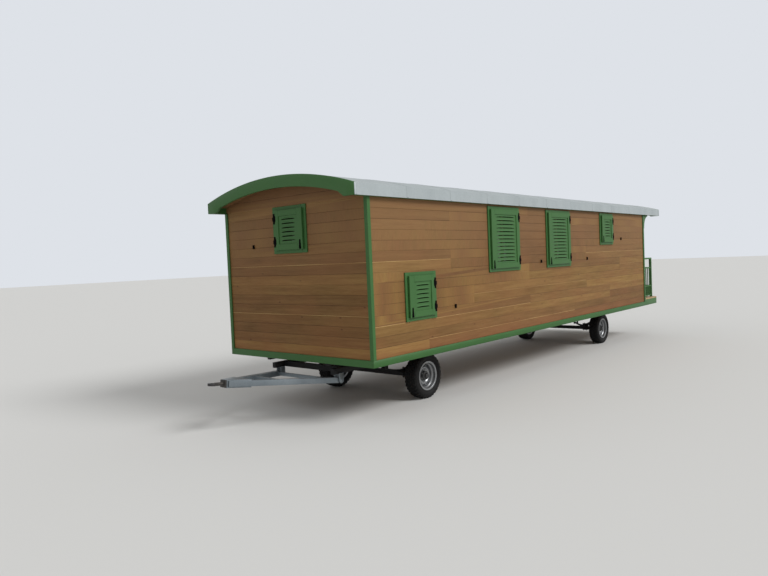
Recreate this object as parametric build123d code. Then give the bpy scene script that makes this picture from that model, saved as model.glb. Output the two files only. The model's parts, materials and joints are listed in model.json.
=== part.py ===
"""Timber cabin trailer: a hollow boarded cabin with an arched roof and louvred shutters, a rear
porch, and two axles on leaf springs, the front one on a turntable with a drawbar."""
from build123d import *
import os
from dataclasses import dataclass
from math import ceil, cos, hypot, radians, sin, sqrt

# Sizes in millimetres. Every piece is modelled in the cabin's frame: x runs rearwards from the
# front face, y to the right, z up from the cabin's underside. save() moves it to the trailer's own
# frame, whose origin is on the ground in the middle of the trailer's length and width.

# Cabin shell
CABIN_L = 10000
CABIN_W = 3000
RIDE_H = 760
EAVES_H = 2195
WALL_T = 90
FLOOR_T = 80
TRIM_T = 20
BASE_TRIM_H = 95
CORNER_TRIM_W = 60
FIT_GAP = 0.3

# Roof
ROOF_SIDE = 50
ROOF_FRONT = 270
ROOF_REAR = 980
ROOF_EDGE_H = 155
ROOF_RISE = 245
ROOF_T = 80
SHEET_T = 3
FASCIA_T = 40
FASCIA_H = 165
FASCIA_FOOT_W = 200
FASCIA_FOOT_SLOPE = 95

# Chassis
CHASSIS_H = 90
RAIL_Y = 620
RAIL_W = 60
RAIL_DROP = 30
EDGE_RAIL_W = 50
CROSS_W = 50
CROSS_PITCH = 1200

# Porch
PORCH_L = 780
PLANK_W = 145
PLANK_T = 30
PLANK_GAP = 6
BEARER_W = 60
POST_W = 50
POST_INSET = 75
RAILING_TOP = 1150
RAILING_MIDDLE = 900
RAILING_LOW = 450
RAILING_FOOT = 215
HANDRAIL_H = 36
BAR_H = 28
BAR_W = 30
BALUSTER_W = 18
BALUSTER_PITCH = 120
PICKET_PITCH = 60
ENTRY_W = 900
BRACE_T = 45
BRACE_L = 265
BRACE_H = 320
BRACE_TIP_W = 25

# Windows and shutters: stations from the front, and drops from the eaves to a casing's top
SMALL_W = 700
SMALL_H = 670
TALL_W = 1000
TALL_H = 1060
LOW_WINDOW_X = 1055
FORE_WINDOW_X = 3370
MID_WINDOW_X = 5370
HIGH_WINDOW_X = 7680
LOW_WINDOW_DROP = 1000
TALL_WINDOW_DROP = 25
HIGH_WINDOW_DROP = 20
FRONT_WINDOW_DROP = -5
CASING_W = 90
CASING_T = 20
SASH_W = 45
SASH_BACK = 70
SASH_FRONT = 20
GLASS_T = 6
LEAF_GAP = 5
LEAF_T = 28
LEAF_REVEAL = 50
STILE_W = 104
PANEL_STEP = 6
SLOT_H = 15
SLOT_MARGIN = 90
HOOD_RISE = 18
HOOD_OUT = 5
HINGE_OUT = 14
HINGE_STANDOFF = 22
HINGE_PLATE = (34, 150, 4)
HINGE_FROM_END = 120
BARREL_R = 8
BARREL_L = 50
PIN_R = 4
PIN_FIT = 0.4
PINTLE_PLATE = (12, 44, 4)
PINTLE_GAP = 0.5
LATCH_FOOT_W = 32
LATCH_TIP_W = 12
LATCH_H = 134
LATCH_T = 5
LATCH_UP = 4
LATCH_KNOB_R = 11
LATCH_KNOB_UP = 24
LATCH_INSET = 52
HOLDBACK = (20, 58, 24)
HOLDBACK_IN = 95
HOLDBACK_UP = 73

# Door
DOOR_W = 800
DOOR_H = 1930
DOOR_T = 45
DOOR_GAP = 5
DOOR_JAMB_T = 30
DOOR_STOP_W = 15
DOOR_CASING_W = 70
DOOR_LIGHT_W = 460
DOOR_LIGHT_SILL = 1000
DOOR_LIGHT_H = 760
DOOR_PANEL_INSET = 130
DOOR_PANEL_STEP = 8
DOOR_HINGE_IN = 8
DOOR_HINGE_HEIGHTS = (250, 1050, 1700)
DOOR_FLAP = (4, 28, 44)
DOOR_KNUCKLE_R = 7
HANDLE_H = 1000
HANDLE_R = 9
HANDLE_NECK_R = 7
HANDLE_L = 130
HANDLE_OUT = 48
HANDLE_IN = 60
HANDLE_PLATE = (6, 40, 200)

# Running gear
FRONT_AXLE_X = 1740
REAR_AXLE_X = 8470
TRACK = 1878
TYRE_R = 345
TYRE_W = 228
WALL_RISE = 62
SHOULDER_IN = 6
SHOULDER_DROP = 24
TREAD_IN = 28
RIM_R = 223
RIM_W = 190
RIM_T = 9
BEAD_R = 205
WELL_R = 183
FLANGE_W = 10
SEAT_IN = 46
SEAT_DROP = 3
WELL_IN = 62
RIM_BEND = 4
HAND_HOLES = 8
HAND_HOLE_R = 17
HAND_HOLE_AT = 148
DRUM_R = 150
AXLE_W = 70
AXLE_END_Y = 800
STUB_R = 30
STUB_END_IN = 40
SPRING_HALF = 525
SPRING_CAMBER = 85
SPRING_W = 60
LEAF_SPRING_T = 10
LEAF_COUNT = 5
EYE_R = 20
EYE_BORE_R = 9
SPRING_PIN_FIT = 0.3
HANGER_T = 10
HANGER_W = 70
EAR_GAP = 1
PIN_HEAD = 4
SUBFRAME_PAST = 25
CLAMP_L = 110
CLAMP_T = 12
CLAMP_PAST = 22
CLAMP_GAP = 1
U_BOLT_R = 8
U_BOLT_TAIL = 14

# Turntable and fore-carriage
RING_R = 600
RING_W = 60
RING_PAIR_H = 60
RING_GAP = 0.5
RING_LIP_W = 22
RING_LIP_GAP = 2
FORE_RAIL_H = 80
FORE_RAIL_FRONT = 110
FORE_RAIL_REAR = 2750
LUG_X = 240
LUG_DROP = 92
LUG_T = 12
LUG_R = 42
LUG_PIN_R = 14

# Drawbar
DRAWBAR_L = 1650
DRAWBAR_RISE = 5.6
TUBE_W = 76
TUBE_START = 20
TIE_W = 50
MIDDLE_TIE = 0.52
SLEEVE_R = 33
EAR_CLEAR = (20, 8)
NOSE_HALF = 52
NOSE_BACK = 210
NOSE_AHEAD = 30
NOSE_BLOCK = (90, 60)
NOSE_PLATE_L = 260
NOSE_PLATE_T = 14
EYE_FLANGE = (18, 110, 96)
EYE_OUTER_R = 55
TOW_BORE_R = 20
EYE_T = 30
SHANK_R = 22

# Values that follow from the sizes above
HALF_W = CABIN_W / 2
SKIN_Y = HALF_W - TRIM_T
INNER_Y = SKIN_Y - WALL_T
FLOOR_TOP = CHASSIS_H + FLOOR_T
ROOF_HALF = HALF_W + ROOF_SIDE
EDGE_TOP = EAVES_H + ROOF_EDGE_H
ROOF_TOP = EDGE_TOP + ROOF_RISE
ROOF_R = (ROOF_HALF**2 + ROOF_RISE**2) / (2 * ROOF_RISE)
ROOF_AXIS_Z = ROOF_TOP - ROOF_R
ROOF_X = (-ROOF_FRONT, CABIN_L + ROOF_REAR)
PORCH_END = CABIN_L + PORCH_L
AXLE_Z = TYRE_R - RIDE_H
RAIL_BOTTOM = -RAIL_DROP
RING_BOTTOM = RAIL_BOTTOM - RING_PAIR_H
SUBFRAME_BOTTOM = RING_BOTTOM - FORE_RAIL_H
SPRING_SEAT = AXLE_Z + AXLE_W / 2
MAIN_LEAF_R = (SPRING_HALF**2 + SPRING_CAMBER**2) / (2 * SPRING_CAMBER)
MAIN_LEAF_TOP = SPRING_SEAT + LEAF_COUNT * LEAF_SPRING_T
SPRING_EYE_Z = MAIN_LEAF_TOP + SPRING_CAMBER - LEAF_SPRING_T / 2
PIVOT_Z = SUBFRAME_BOTTOM - LUG_DROP
NOSE_TIP = LUG_X - (DRAWBAR_L + EYE_OUTER_R) * cos(radians(DRAWBAR_RISE)) \
    - EYE_T / 2 * sin(radians(DRAWBAR_RISE))
MIDDLE_X = (NOSE_TIP + ROOF_X[1]) / 2
LEAF_IN = CASING_T + LEAF_GAP
LEAF_OUT = LEAF_IN + LEAF_T
HINGE_W = CASING_T + HINGE_STANDOFF
POST_Y = HALF_W - POST_INSET - POST_W / 2
POST_X = (CABIN_L + POST_W / 2, PORCH_END - POST_INSET - POST_W / 2)
DECK_UNDER = FLOOR_TOP - PLANK_T


@dataclass(frozen=True)
class WindowSize:
    """Outer size of the casing and the number of louvre slots in its shutter."""
    width: float
    height: float
    slots: int


@dataclass(frozen=True)
class Window:
    """A window: its wall, where its middle is, how far its top is below the eaves, and its size."""
    name: str
    wall: str
    middle: float
    drop: float
    size: WindowSize

    @property
    def sill(self):
        """Height of the underside of its casing."""
        return EAVES_H - self.drop - self.size.height


SMALL = WindowSize(width=SMALL_W, height=SMALL_H, slots=6)
TALL = WindowSize(width=TALL_W, height=TALL_H, slots=13)
WINDOWS = (
    Window("left_low", "left", LOW_WINDOW_X, LOW_WINDOW_DROP, SMALL),
    Window("left_fore", "left", FORE_WINDOW_X, TALL_WINDOW_DROP, TALL),
    Window("left_mid", "left", MID_WINDOW_X, TALL_WINDOW_DROP, TALL),
    Window("left_high", "left", HIGH_WINDOW_X, HIGH_WINDOW_DROP, SMALL),
    Window("right_fore", "right", FORE_WINDOW_X, TALL_WINDOW_DROP, TALL),
    Window("right_mid", "right", MID_WINDOW_X, TALL_WINDOW_DROP, TALL),
    Window("front", "front", 0, FRONT_WINDOW_DROP, SMALL),
)


def block(x, y, z):
    """A straight bar between the low and high limits given for each axis."""
    centre = [(limits[0] + limits[1]) / 2 for limits in (x, y, z)]
    return Pos(*centre) * Box(*[limits[1] - limits[0] for limits in (x, y, z)])


def about(middle, size):
    """Limits of a stretch of the given size about its middle."""
    return (middle - size / 2, middle + size / 2)


def sided(side, near, far):
    """Limits from near to far on the left (side -1) or the right (side 1)."""
    return tuple(sorted((side * near, side * far)))


def rod(start, end, radius):
    """A round bar from one point to another."""
    axis = Vector(*end) - Vector(*start)
    return Plane(origin=start, z_dir=axis) * Cylinder(
        radius, axis.length, align=(Align.CENTER, Align.CENTER, Align.MIN))


def fused(pieces):
    """One shape from pieces that are joined to each other."""
    pieces = list(pieces)
    return pieces[0] + pieces[1:]


def save(name, *pieces):
    """Write one node, moved to the trailer's own frame."""
    solids = [solid for piece in pieces for solid in piece.solids()]
    shape = solids[0] if len(solids) == 1 else Compound(children=solids)
    export_step(Pos(-MIDDLE_X, 0, RIDE_H) * shape, f"parts/{name}.step")


def roof_round(radius, x):
    """The round of the roof at a radius, as a long cylinder lying along the trailer."""
    return Pos((x[0] + x[1]) / 2, 0, ROOF_AXIS_Z) * Rot(0, 90, 0) * Cylinder(radius, x[1] - x[0])


def arch_z(radius, y):
    """Height of a roof round at a distance from the middle."""
    return ROOF_AXIS_Z + sqrt(radius**2 - y**2)


def window_plane(window):
    """Frame of a window on its wall: origin under the casing's middle, z outwards."""
    if window.wall == "left":
        return Plane(origin=(window.middle, -SKIN_Y, window.sill), x_dir=(1, 0, 0), z_dir=(0, -1, 0))
    if window.wall == "right":
        return Plane(origin=(window.middle, SKIN_Y, window.sill), x_dir=(-1, 0, 0), z_dir=(0, 1, 0))
    return Plane(origin=(TRIM_T, window.middle, window.sill), x_dir=(0, -1, 0), z_dir=(-1, 0, 0))


def hinge_side(window):
    """The side of a window's frame that its shutter hangs on: 1 for +x, -1 for -x."""
    return 1 if window.wall == "left" else -1


def opening_limits(size):
    """Limits of the hole in the wall, in the window's frame."""
    return about(0, size.width - 2 * CASING_W), (CASING_W, size.height - CASING_W)


def wall_cuts(wall):
    """The window holes of one wall."""
    for window in WINDOWS:
        if window.wall == wall:
            across, up = opening_limits(window.size)
            yield window_plane(window) * block(across, up, (-WALL_T - 1, 1))


def cabin_round(x):
    """What lies under the roof, for cutting the tops of the walls to its round."""
    return roof_round(ROOF_R - SHEET_T - ROOF_T - FIT_GAP, x)


def side_wall(side, name):
    """A side wall, full length, its top bevelled to the slope of the roof."""
    under = ROOF_R - SHEET_T - ROOF_T - FIT_GAP
    profile = make_face(Polyline(
        (side * INNER_Y, CHASSIS_H), (side * SKIN_Y, CHASSIS_H),
        (side * SKIN_Y, arch_z(under, SKIN_Y)), (side * INNER_Y, arch_z(under, INNER_Y)),
        close=True).edges())
    wall = extrude(Plane.YZ.offset(TRIM_T) * profile, CABIN_L - 2 * TRIM_T)
    return wall - list(wall_cuts(name))


def end_wall(x):
    """An end wall between the side walls, its top cut to the round of the roof."""
    return block(x, (-INNER_Y, INNER_Y), (CHASSIS_H, ROOF_TOP)) & cabin_round(x)


def front_wall():
    """The front wall with its window."""
    return end_wall((TRIM_T, TRIM_T + WALL_T)) - list(wall_cuts("front"))


def rear_wall():
    """The rear wall with its doorway."""
    x = (CABIN_L - TRIM_T - WALL_T, CABIN_L - TRIM_T)
    across, up = doorway()
    return end_wall(x) - block((x[0] - 1, x[1] + 1), across, up)


def doorway():
    """Limits of the hole that the door frame fills."""
    return about(0, DOOR_W + 2 * DOOR_JAMB_T), (FLOOR_TOP, FLOOR_TOP + DOOR_H + 2 * DOOR_JAMB_T)


def floor_panel():
    """The floor between the walls."""
    x = (TRIM_T + WALL_T, CABIN_L - TRIM_T - WALL_T)
    return block(x, (-INNER_Y, INNER_Y), (CHASSIS_H, FLOOR_TOP))


def roof_panel():
    """The arched roof panel between the eaves boards."""
    x = (ROOF_X[0] + FASCIA_T, ROOF_X[1] - FASCIA_T)
    slab = block(x, (-SKIN_Y, SKIN_Y), (EAVES_H, ROOF_TOP))
    outer = ROOF_R - SHEET_T - FIT_GAP
    return (slab & roof_round(outer, x)) - roof_round(ROOF_R - SHEET_T - ROOF_T, x)


def eaves_boards():
    """The upright boards along both edges of the roof, which the walls and trims meet."""
    x = (ROOF_X[0] + FASCIA_T, ROOF_X[1] - FASCIA_T)
    for side in (-1, 1):
        board = block(x, sided(side, SKIN_Y, ROOF_HALF - SHEET_T), (EAVES_H, ROOF_TOP))
        yield board & roof_round(ROOF_R - SHEET_T - FIT_GAP, x)


def roof_sheet():
    """The metal covering: an arch over the top with an upright skirt down each side."""
    x = (ROOF_X[0] + FASCIA_T, ROOF_X[1] - FASCIA_T)
    over = block(x, (-ROOF_HALF, ROOF_HALF), (EAVES_H, ROOF_TOP)) & roof_round(ROOF_R, x)
    inner = block(x, (-ROOF_HALF + SHEET_T, ROOF_HALF - SHEET_T), (0, ROOF_TOP))
    return over - (inner & roof_round(ROOF_R - SHEET_T, x))


def fascia(x):
    """An arched board over one end of the roof, with a level foot at each eaves."""
    foot = ROOF_HALF - FASCIA_FOOT_W
    knee = foot - FASCIA_FOOT_SLOPE
    inner_r = ROOF_R - FASCIA_H
    knee_z = arch_z(inner_r, knee)
    edges = [
        ThreePointArc((-ROOF_HALF, EDGE_TOP), (0, ROOF_TOP), (ROOF_HALF, EDGE_TOP)),
        Polyline((ROOF_HALF, EDGE_TOP), (ROOF_HALF, EAVES_H), (foot, EAVES_H), (knee, knee_z)),
        ThreePointArc((knee, knee_z), (0, ROOF_AXIS_Z + inner_r), (-knee, knee_z)),
        Polyline((-knee, knee_z), (-foot, EAVES_H), (-ROOF_HALF, EAVES_H), (-ROOF_HALF, EDGE_TOP)),
    ]
    outline = make_face([edge for part in edges for edge in part.edges()])
    return extrude(Plane.YZ.offset(x[0]) * outline, x[1] - x[0])


def base_trim():
    """The boards round the foot of the cabin, and the taller ones round the porch."""
    for side in (-1, 1):
        y = sided(side, SKIN_Y, HALF_W)
        yield block((0, CABIN_L), y, (0, BASE_TRIM_H))
        yield block((CABIN_L, PORCH_END), y, (0, DECK_UNDER))
    inner_y = (-SKIN_Y + FIT_GAP, SKIN_Y - FIT_GAP)
    yield block((0, TRIM_T), inner_y, (0, BASE_TRIM_H))
    yield block((PORCH_END - TRIM_T, PORCH_END), inner_y, (0, DECK_UNDER))


def corner_trims():
    """An angle of two boards up each corner of the cabin."""
    z = (BASE_TRIM_H, EAVES_H)
    for side in (-1, 1):
        for end, inwards in ((0, 1), (CABIN_L, -1)):
            face = sorted((end, end + inwards * TRIM_T))
            along = sorted((end, end + inwards * CORNER_TRIM_W))
            across = block(face, sided(side, HALF_W - CORNER_TRIM_W, HALF_W), z)
            yield across + block(along, sided(side, SKIN_Y, HALF_W), z)


def cross_stations():
    """Stations of the cross members, closest under the turntable and the axle's subframe."""
    fixed = [TRIM_T + CROSS_W / 2, FRONT_AXLE_X - RING_R, FRONT_AXLE_X + RING_R,
             REAR_AXLE_X - SPRING_HALF, REAR_AXLE_X + SPRING_HALF,
             CABIN_L - TRIM_T - WALL_T / 2, PORCH_END - TRIM_T - CROSS_W / 2]
    stations = [fixed[0]]
    for station in fixed[1:]:
        steps = ceil((station - stations[-1]) / CROSS_PITCH)
        start = stations[-1]
        stations += [start + (station - start) * i / steps for i in range(1, steps + 1)]
    return stations


def chassis_frame():
    """The ladder: two main rails, two edge rails and the cross members between them."""
    x = (TRIM_T, PORCH_END - TRIM_T)
    bars = []
    for side in (-1, 1):
        bars.append(block(x, about(side * RAIL_Y, RAIL_W), (RAIL_BOTTOM, CHASSIS_H)))
        bars.append(block(x, sided(side, SKIN_Y - EDGE_RAIL_W, SKIN_Y), (0, CHASSIS_H)))
    for station in cross_stations():
        low = RAIL_BOTTOM if abs(station - FRONT_AXLE_X) < RING_R + 1 else 0
        bars.append(block(about(station, CROSS_W), (-RAIL_Y, RAIL_Y), (low, CHASSIS_H)))
        bars.append(block(about(station, CROSS_W), (-SKIN_Y, SKIN_Y), (0, CHASSIS_H)))
    return fused(bars)


def window_casing(window):
    """The boards round a window."""
    across, up = opening_limits(window.size)
    full = block(about(0, window.size.width), (0, window.size.height), (0, CASING_T))
    return window_plane(window) * (full - block(across, up, (-1, CASING_T + 1)))


def sash_lights(window):
    """The limits across of each pane: one in a small window, two in a tall one."""
    across = opening_limits(window.size)[0]
    low, high = across[0] + SASH_W, across[1] - SASH_W
    if window.size == SMALL:
        return [(low, high)]
    return [(low, -SASH_W / 2), (SASH_W / 2, high)]


def window_sash(window):
    """The wooden frame that holds the glass."""
    across, up = opening_limits(window.size)
    frame = block(across, up, (-SASH_BACK, -SASH_FRONT))
    for light in sash_lights(window):
        frame -= block(light, (up[0] + SASH_W, up[1] - SASH_W), (-SASH_BACK - 1, 0))
    return window_plane(window) * frame


def window_panes(window):
    """The glass, edge to edge in its sash."""
    up = opening_limits(window.size)[1]
    middle = -(SASH_BACK + SASH_FRONT) / 2
    for light in sash_lights(window):
        yield window_plane(window) * block(light, (up[0] + SASH_W, up[1] - SASH_W),
                                           about(middle, GLASS_T))


def leaf_limits(window):
    """Limits across and up of a shutter leaf, in its window's frame."""
    half = window.size.width / 2 - LEAF_REVEAL
    return (-half, half), (LEAF_REVEAL, window.size.height - LEAF_REVEAL)


def hinge_across(window):
    """Place of a shutter's hinge pins across its window's frame."""
    return hinge_side(window) * (leaf_limits(window)[0][1] + HINGE_OUT)


def hinge_heights(window):
    """Heights of the middles of a shutter's two hinges."""
    low, high = leaf_limits(window)[1]
    return low + HINGE_FROM_END, high - HINGE_FROM_END


def shutter_leaf(window):
    """A shutter: a frame round a thinner panel with a row of hooded louvre slots."""
    across, up = leaf_limits(window)
    panel_across = (across[0] + STILE_W, across[1] - STILE_W)
    panel_up = (up[0] + STILE_W, up[1] - STILE_W)
    leaf = block(across, up, (LEAF_IN, LEAF_OUT))
    face = LEAF_OUT - PANEL_STEP
    leaf -= block(panel_across, panel_up, (face, LEAF_OUT + 1))
    leaf -= block(panel_across, panel_up, (LEAF_IN - 1, LEAF_IN + PANEL_STEP))
    slot_across = (panel_across[0] + SLOT_MARGIN, panel_across[1] - SLOT_MARGIN)
    pitch = (panel_up[1] - panel_up[0]) / window.size.slots
    slots = []
    hoods = []
    for index in range(window.size.slots):
        base = panel_up[0] + (index + 0.5) * pitch - SLOT_H / 2
        slots.append(block(slot_across, (base, base + SLOT_H), (LEAF_IN, face + 1)))
        top = base + SLOT_H
        profile = make_face(Polyline((top, face - PANEL_STEP), (top, face + HOOD_OUT),
                                     (top + HOOD_RISE, face), (top + HOOD_RISE, face - PANEL_STEP),
                                     close=True).edges())
        hoods.append(extrude(Plane.YZ.offset(slot_across[0]) * profile,
                             slot_across[1] - slot_across[0]))
    return window_plane(window) * ((leaf - slots) + hoods)


def shutter_iron(window):
    """The hinge plates with their barrels, and the latch, of one shutter."""
    side = hinge_side(window)
    pin = hinge_across(window)
    plate_w, plate_h, plate_t = HINGE_PLATE
    edge = side * leaf_limits(window)[0][1]
    plane = window_plane(window)
    for height in hinge_heights(window):
        plate_x = tuple(sorted((edge - side * plate_w, pin + side * plate_t / 2)))
        web_x = about(pin, plate_t)
        top = (LEAF_OUT, LEAF_OUT + plate_t)
        plate = block((plate_x[0], plate_x[1]), about(height, BARREL_L), top)
        plate += block(tuple(sorted((edge - side * plate_w, edge))), about(height, plate_h), top)
        plate += block(web_x, about(height, BARREL_L), (HINGE_W, LEAF_OUT + plate_t))
        barrel = Pos(pin, height, HINGE_W) * Rot(90, 0, 0) * Cylinder(BARREL_R, BARREL_L)
        bore = Pos(pin, height, HINGE_W) * Rot(90, 0, 0) * Cylinder(PIN_R + PIN_FIT, BARREL_L + 2)
        yield plane * ((plate + barrel) - bore)
    free = side * LATCH_INSET - edge
    low = leaf_limits(window)[1][0] + LATCH_UP
    outline = make_face(Polyline((free - LATCH_FOOT_W / 2, low), (free + LATCH_FOOT_W / 2, low),
                                 (free + LATCH_TIP_W / 2, low + LATCH_H),
                                 (free - LATCH_TIP_W / 2, low + LATCH_H), close=True).edges())
    lever = extrude(Plane.XY.offset(LEAF_OUT) * outline, LATCH_T)
    knob = Pos(free, low + LATCH_KNOB_UP, LEAF_OUT) * Cylinder(
        LATCH_KNOB_R, 2 * LATCH_T, align=(Align.CENTER, Align.CENTER, Align.MIN))
    yield plane * (lever + knob)


def shutter_pintles(window):
    """The plates on the casing, with the arms and pins that a shutter's barrels hang on."""
    pin = hinge_across(window)
    plate_w, plate_h, plate_t = PINTLE_PLATE
    plane = window_plane(window)
    for height in hinge_heights(window):
        top = height - BARREL_L / 2 - PINTLE_GAP
        foot = (CASING_T, CASING_T + plate_t)
        plate = block(about(pin, plate_w), (top - plate_h, top), foot)
        reach = (CASING_T, HINGE_W + plate_w / 2)
        arm = block(about(pin, plate_w), (top - 2 * PIN_R, top), reach)
        stem = Pos(pin, top + BARREL_L / 2, HINGE_W) * Rot(90, 0, 0) * Cylinder(PIN_R, BARREL_L)
        yield plane * (plate + arm + stem)


def shutter_holdback(window):
    """The catch on the wall that the open shutter lies against."""
    side = hinge_side(window)
    across, up = leaf_limits(window)
    free = across[0] if side > 0 else across[1]
    middle = 2 * hinge_across(window) - free - side * HOLDBACK_IN
    width, height, depth = HOLDBACK
    base = block(about(middle, width), about(up[0] + HOLDBACK_UP, height), (0, depth))
    return window_plane(window) * base


def door_frame():
    """The lining of the doorway with its outer casing and the stop that the door closes to."""
    across, up = doorway()
    rear = CABIN_L - TRIM_T
    front = rear - WALL_T
    clear_y = about(0, DOOR_W)
    clear_z = (up[0] + DOOR_JAMB_T, up[1] - DOOR_JAMB_T)
    lining = block((front, rear), across, up) - block((front - 1, rear + 1), clear_y, clear_z)
    casing_y = (across[0] - DOOR_CASING_W, across[1] + DOOR_CASING_W)
    casing = block((rear, rear + TRIM_T), casing_y, (up[0], up[1] + DOOR_CASING_W))
    casing -= block((rear - 1, rear + TRIM_T + 1), clear_y, clear_z)
    stop_x = front + DOOR_T + DOOR_GAP
    stop = block((stop_x, rear), clear_y, clear_z)
    stop -= block((stop_x - 1, rear + 1), (clear_y[0] + DOOR_STOP_W, clear_y[1] - DOOR_STOP_W),
                  (clear_z[0] + DOOR_STOP_W, clear_z[1] - DOOR_STOP_W))
    return lining + casing + stop


def door_limits():
    """Limits of the door leaf, which lies flush with the inside of the rear wall."""
    front = CABIN_L - TRIM_T - WALL_T
    base = FLOOR_TOP + DOOR_JAMB_T + DOOR_GAP
    return ((front, front + DOOR_T), about(0, DOOR_W - 2 * DOOR_GAP),
            (base, base + DOOR_H - 2 * DOOR_GAP))


def door_light():
    """Limits across and up of the door's window."""
    base = FLOOR_TOP + DOOR_LIGHT_SILL
    return about(0, DOOR_LIGHT_W), (base, base + DOOR_LIGHT_H)


def door_leaf():
    """The door: stiles and rails round a sunk lower panel and a window."""
    x, y, z = door_limits()
    light_y, light_z = door_light()
    panel_y = (y[0] + DOOR_PANEL_INSET, y[1] - DOOR_PANEL_INSET)
    panel_z = (z[0] + DOOR_PANEL_INSET, light_z[0] - DOOR_PANEL_INSET)
    leaf = block(x, y, z) - block((x[0] - 1, x[1] + 1), light_y, light_z)
    leaf -= block((x[0] - 1, x[0] + DOOR_PANEL_STEP), panel_y, panel_z)
    return leaf - block((x[1] - DOOR_PANEL_STEP, x[1] + 1), panel_y, panel_z)


def door_pane():
    """The glass in the door."""
    x = door_limits()[0]
    light_y, light_z = door_light()
    return block(about((x[0] + x[1]) / 2, GLASS_T), light_y, light_z)


def door_hinge_axis():
    """Place of the door's hinge pins: inside the room, in the middle of the gap at its edge."""
    x, y, z = door_limits()
    return x[0] - DOOR_HINGE_IN, y[1] + DOOR_GAP / 2


def door_knuckle(base, toward_door):
    """A hinge knuckle with its flap on the door's side (True) or the jamb's side (False)."""
    x, y = door_hinge_axis()
    flap_t, flap_w, height = DOOR_FLAP
    face = x + DOOR_HINGE_IN
    flap_y = (y - DOOR_GAP / 2 - flap_w, y) if toward_door else (y, y + DOOR_GAP / 2 + flap_w)
    flap = block((face - flap_t, face), flap_y, (base, base + height))
    return flap + rod((x, y, base), (x, y, base + height), DOOR_KNUCKLE_R)


def door_hinge_pins():
    """The jamb's halves of the door hinges, each with the pin that the door's half turns on."""
    x, y = door_hinge_axis()
    height = DOOR_FLAP[2]
    for level in DOOR_HINGE_HEIGHTS:
        base = FLOOR_TOP + level
        yield door_knuckle(base, False) + rod((x, y, base), (x, y, base + 2 * height), PIN_R)


def door_hinge_knuckles():
    """The door's halves of its hinges, above the jamb's halves."""
    x, y = door_hinge_axis()
    height = DOOR_FLAP[2]
    for level in DOOR_HINGE_HEIGHTS:
        base = FLOOR_TOP + level + height + PINTLE_GAP
        bore = rod((x, y, base - 1), (x, y, base + height + 1), PIN_R + PIN_FIT)
        yield door_knuckle(base, True) - bore


def door_handles():
    """A lever handle on each face of the door, on the side away from its hinges."""
    x, y, z = door_limits()
    height = FLOOR_TOP + HANDLE_H - HANDLE_R
    stem_y = y[0] + HANDLE_IN
    plate_t, plate_w, plate_h = HANDLE_PLATE
    for face, out in ((x[0], -1), (x[1], 1)):
        lever_x = face + out * HANDLE_OUT
        plate_x = tuple(sorted((face, face + out * plate_t)))
        plate = block(plate_x, about(stem_y, plate_w), about(height, plate_h))
        neck = rod((face, stem_y, height), (lever_x, stem_y, height), HANDLE_NECK_R)
        lever = rod((lever_x, stem_y - HANDLE_R, height), (lever_x, stem_y + HANDLE_L, height), HANDLE_R)
        yield plate + neck + lever


def porch_deck():
    """The porch floor: planks across the trailer on bearers that lie on the chassis."""
    x = (CABIN_L, PORCH_END)
    count = round((x[1] - x[0] + PLANK_GAP) / (PLANK_W + PLANK_GAP))
    width = (x[1] - x[0] + PLANK_GAP) / count - PLANK_GAP
    bars = []
    bearer_x = (CABIN_L, PORCH_END - TRIM_T)
    for side in (-1, 1):
        for near in (RAIL_Y - RAIL_W / 2, SKIN_Y - BEARER_W):
            bars.append(block(bearer_x, sided(side, near, near + BEARER_W), (CHASSIS_H, DECK_UNDER)))
    for index in range(count):
        start = x[0] + index * (width + PLANK_GAP)
        bars.append(block((start, start + width), (-HALF_W, HALF_W), (DECK_UNDER, FLOOR_TOP)))
    return fused(bars)


def railing(start, end, posts):
    """A railing between two points on the deck, with three rails, balusters and low pickets."""
    (x0, y0), (x1, y1) = start, end
    along_x = y0 == y1
    length = abs(x1 - x0) + abs(y1 - y0)

    def bar(lengthways, thickness, z):
        low, high = lengthways
        if along_x:
            return block((x0 + low, x0 + high), about(y0, thickness), z)
        return block(about(x0, thickness), (y0 + low, y0 + high), z)

    pieces = [bar((0, length), BAR_W, (level - BAR_H / 2, level + BAR_H / 2))
              for level in (RAILING_MIDDLE, RAILING_LOW, RAILING_FOOT)]
    pieces.append(bar((0, length), POST_W, (RAILING_TOP - HANDRAIL_H, RAILING_TOP)))
    for place in posts:
        pieces.append(bar(about(place, POST_W), POST_W, (FLOOR_TOP, RAILING_TOP)))
    for pitch, z in ((BALUSTER_PITCH, (RAILING_LOW, RAILING_MIDDLE)),
                     (PICKET_PITCH, (RAILING_FOOT, RAILING_LOW))):
        count = round(length / pitch)
        for index in range(1, count):
            pieces.append(bar(about(index * length / count, BALUSTER_W), BALUSTER_W, z))
    return fused(pieces)


def side_railing(side):
    """The railing along one side of the porch, from the rear wall to its corner post."""
    y = side * POST_Y
    return railing((CABIN_L, y), (POST_X[1] + POST_W / 2, y),
                   (POST_W / 2, POST_X[1] - CABIN_L))


def end_railing(side):
    """The railing at the end of the porch, from the corner post to the entry."""
    inner = ENTRY_W / 2
    outer = POST_Y - POST_W / 2 - FIT_GAP
    low, high = sided(side, inner, outer)
    post = POST_W / 2 if side > 0 else high - low - POST_W / 2
    return railing((POST_X[1], low), (POST_X[1], high), (post,))


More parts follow.
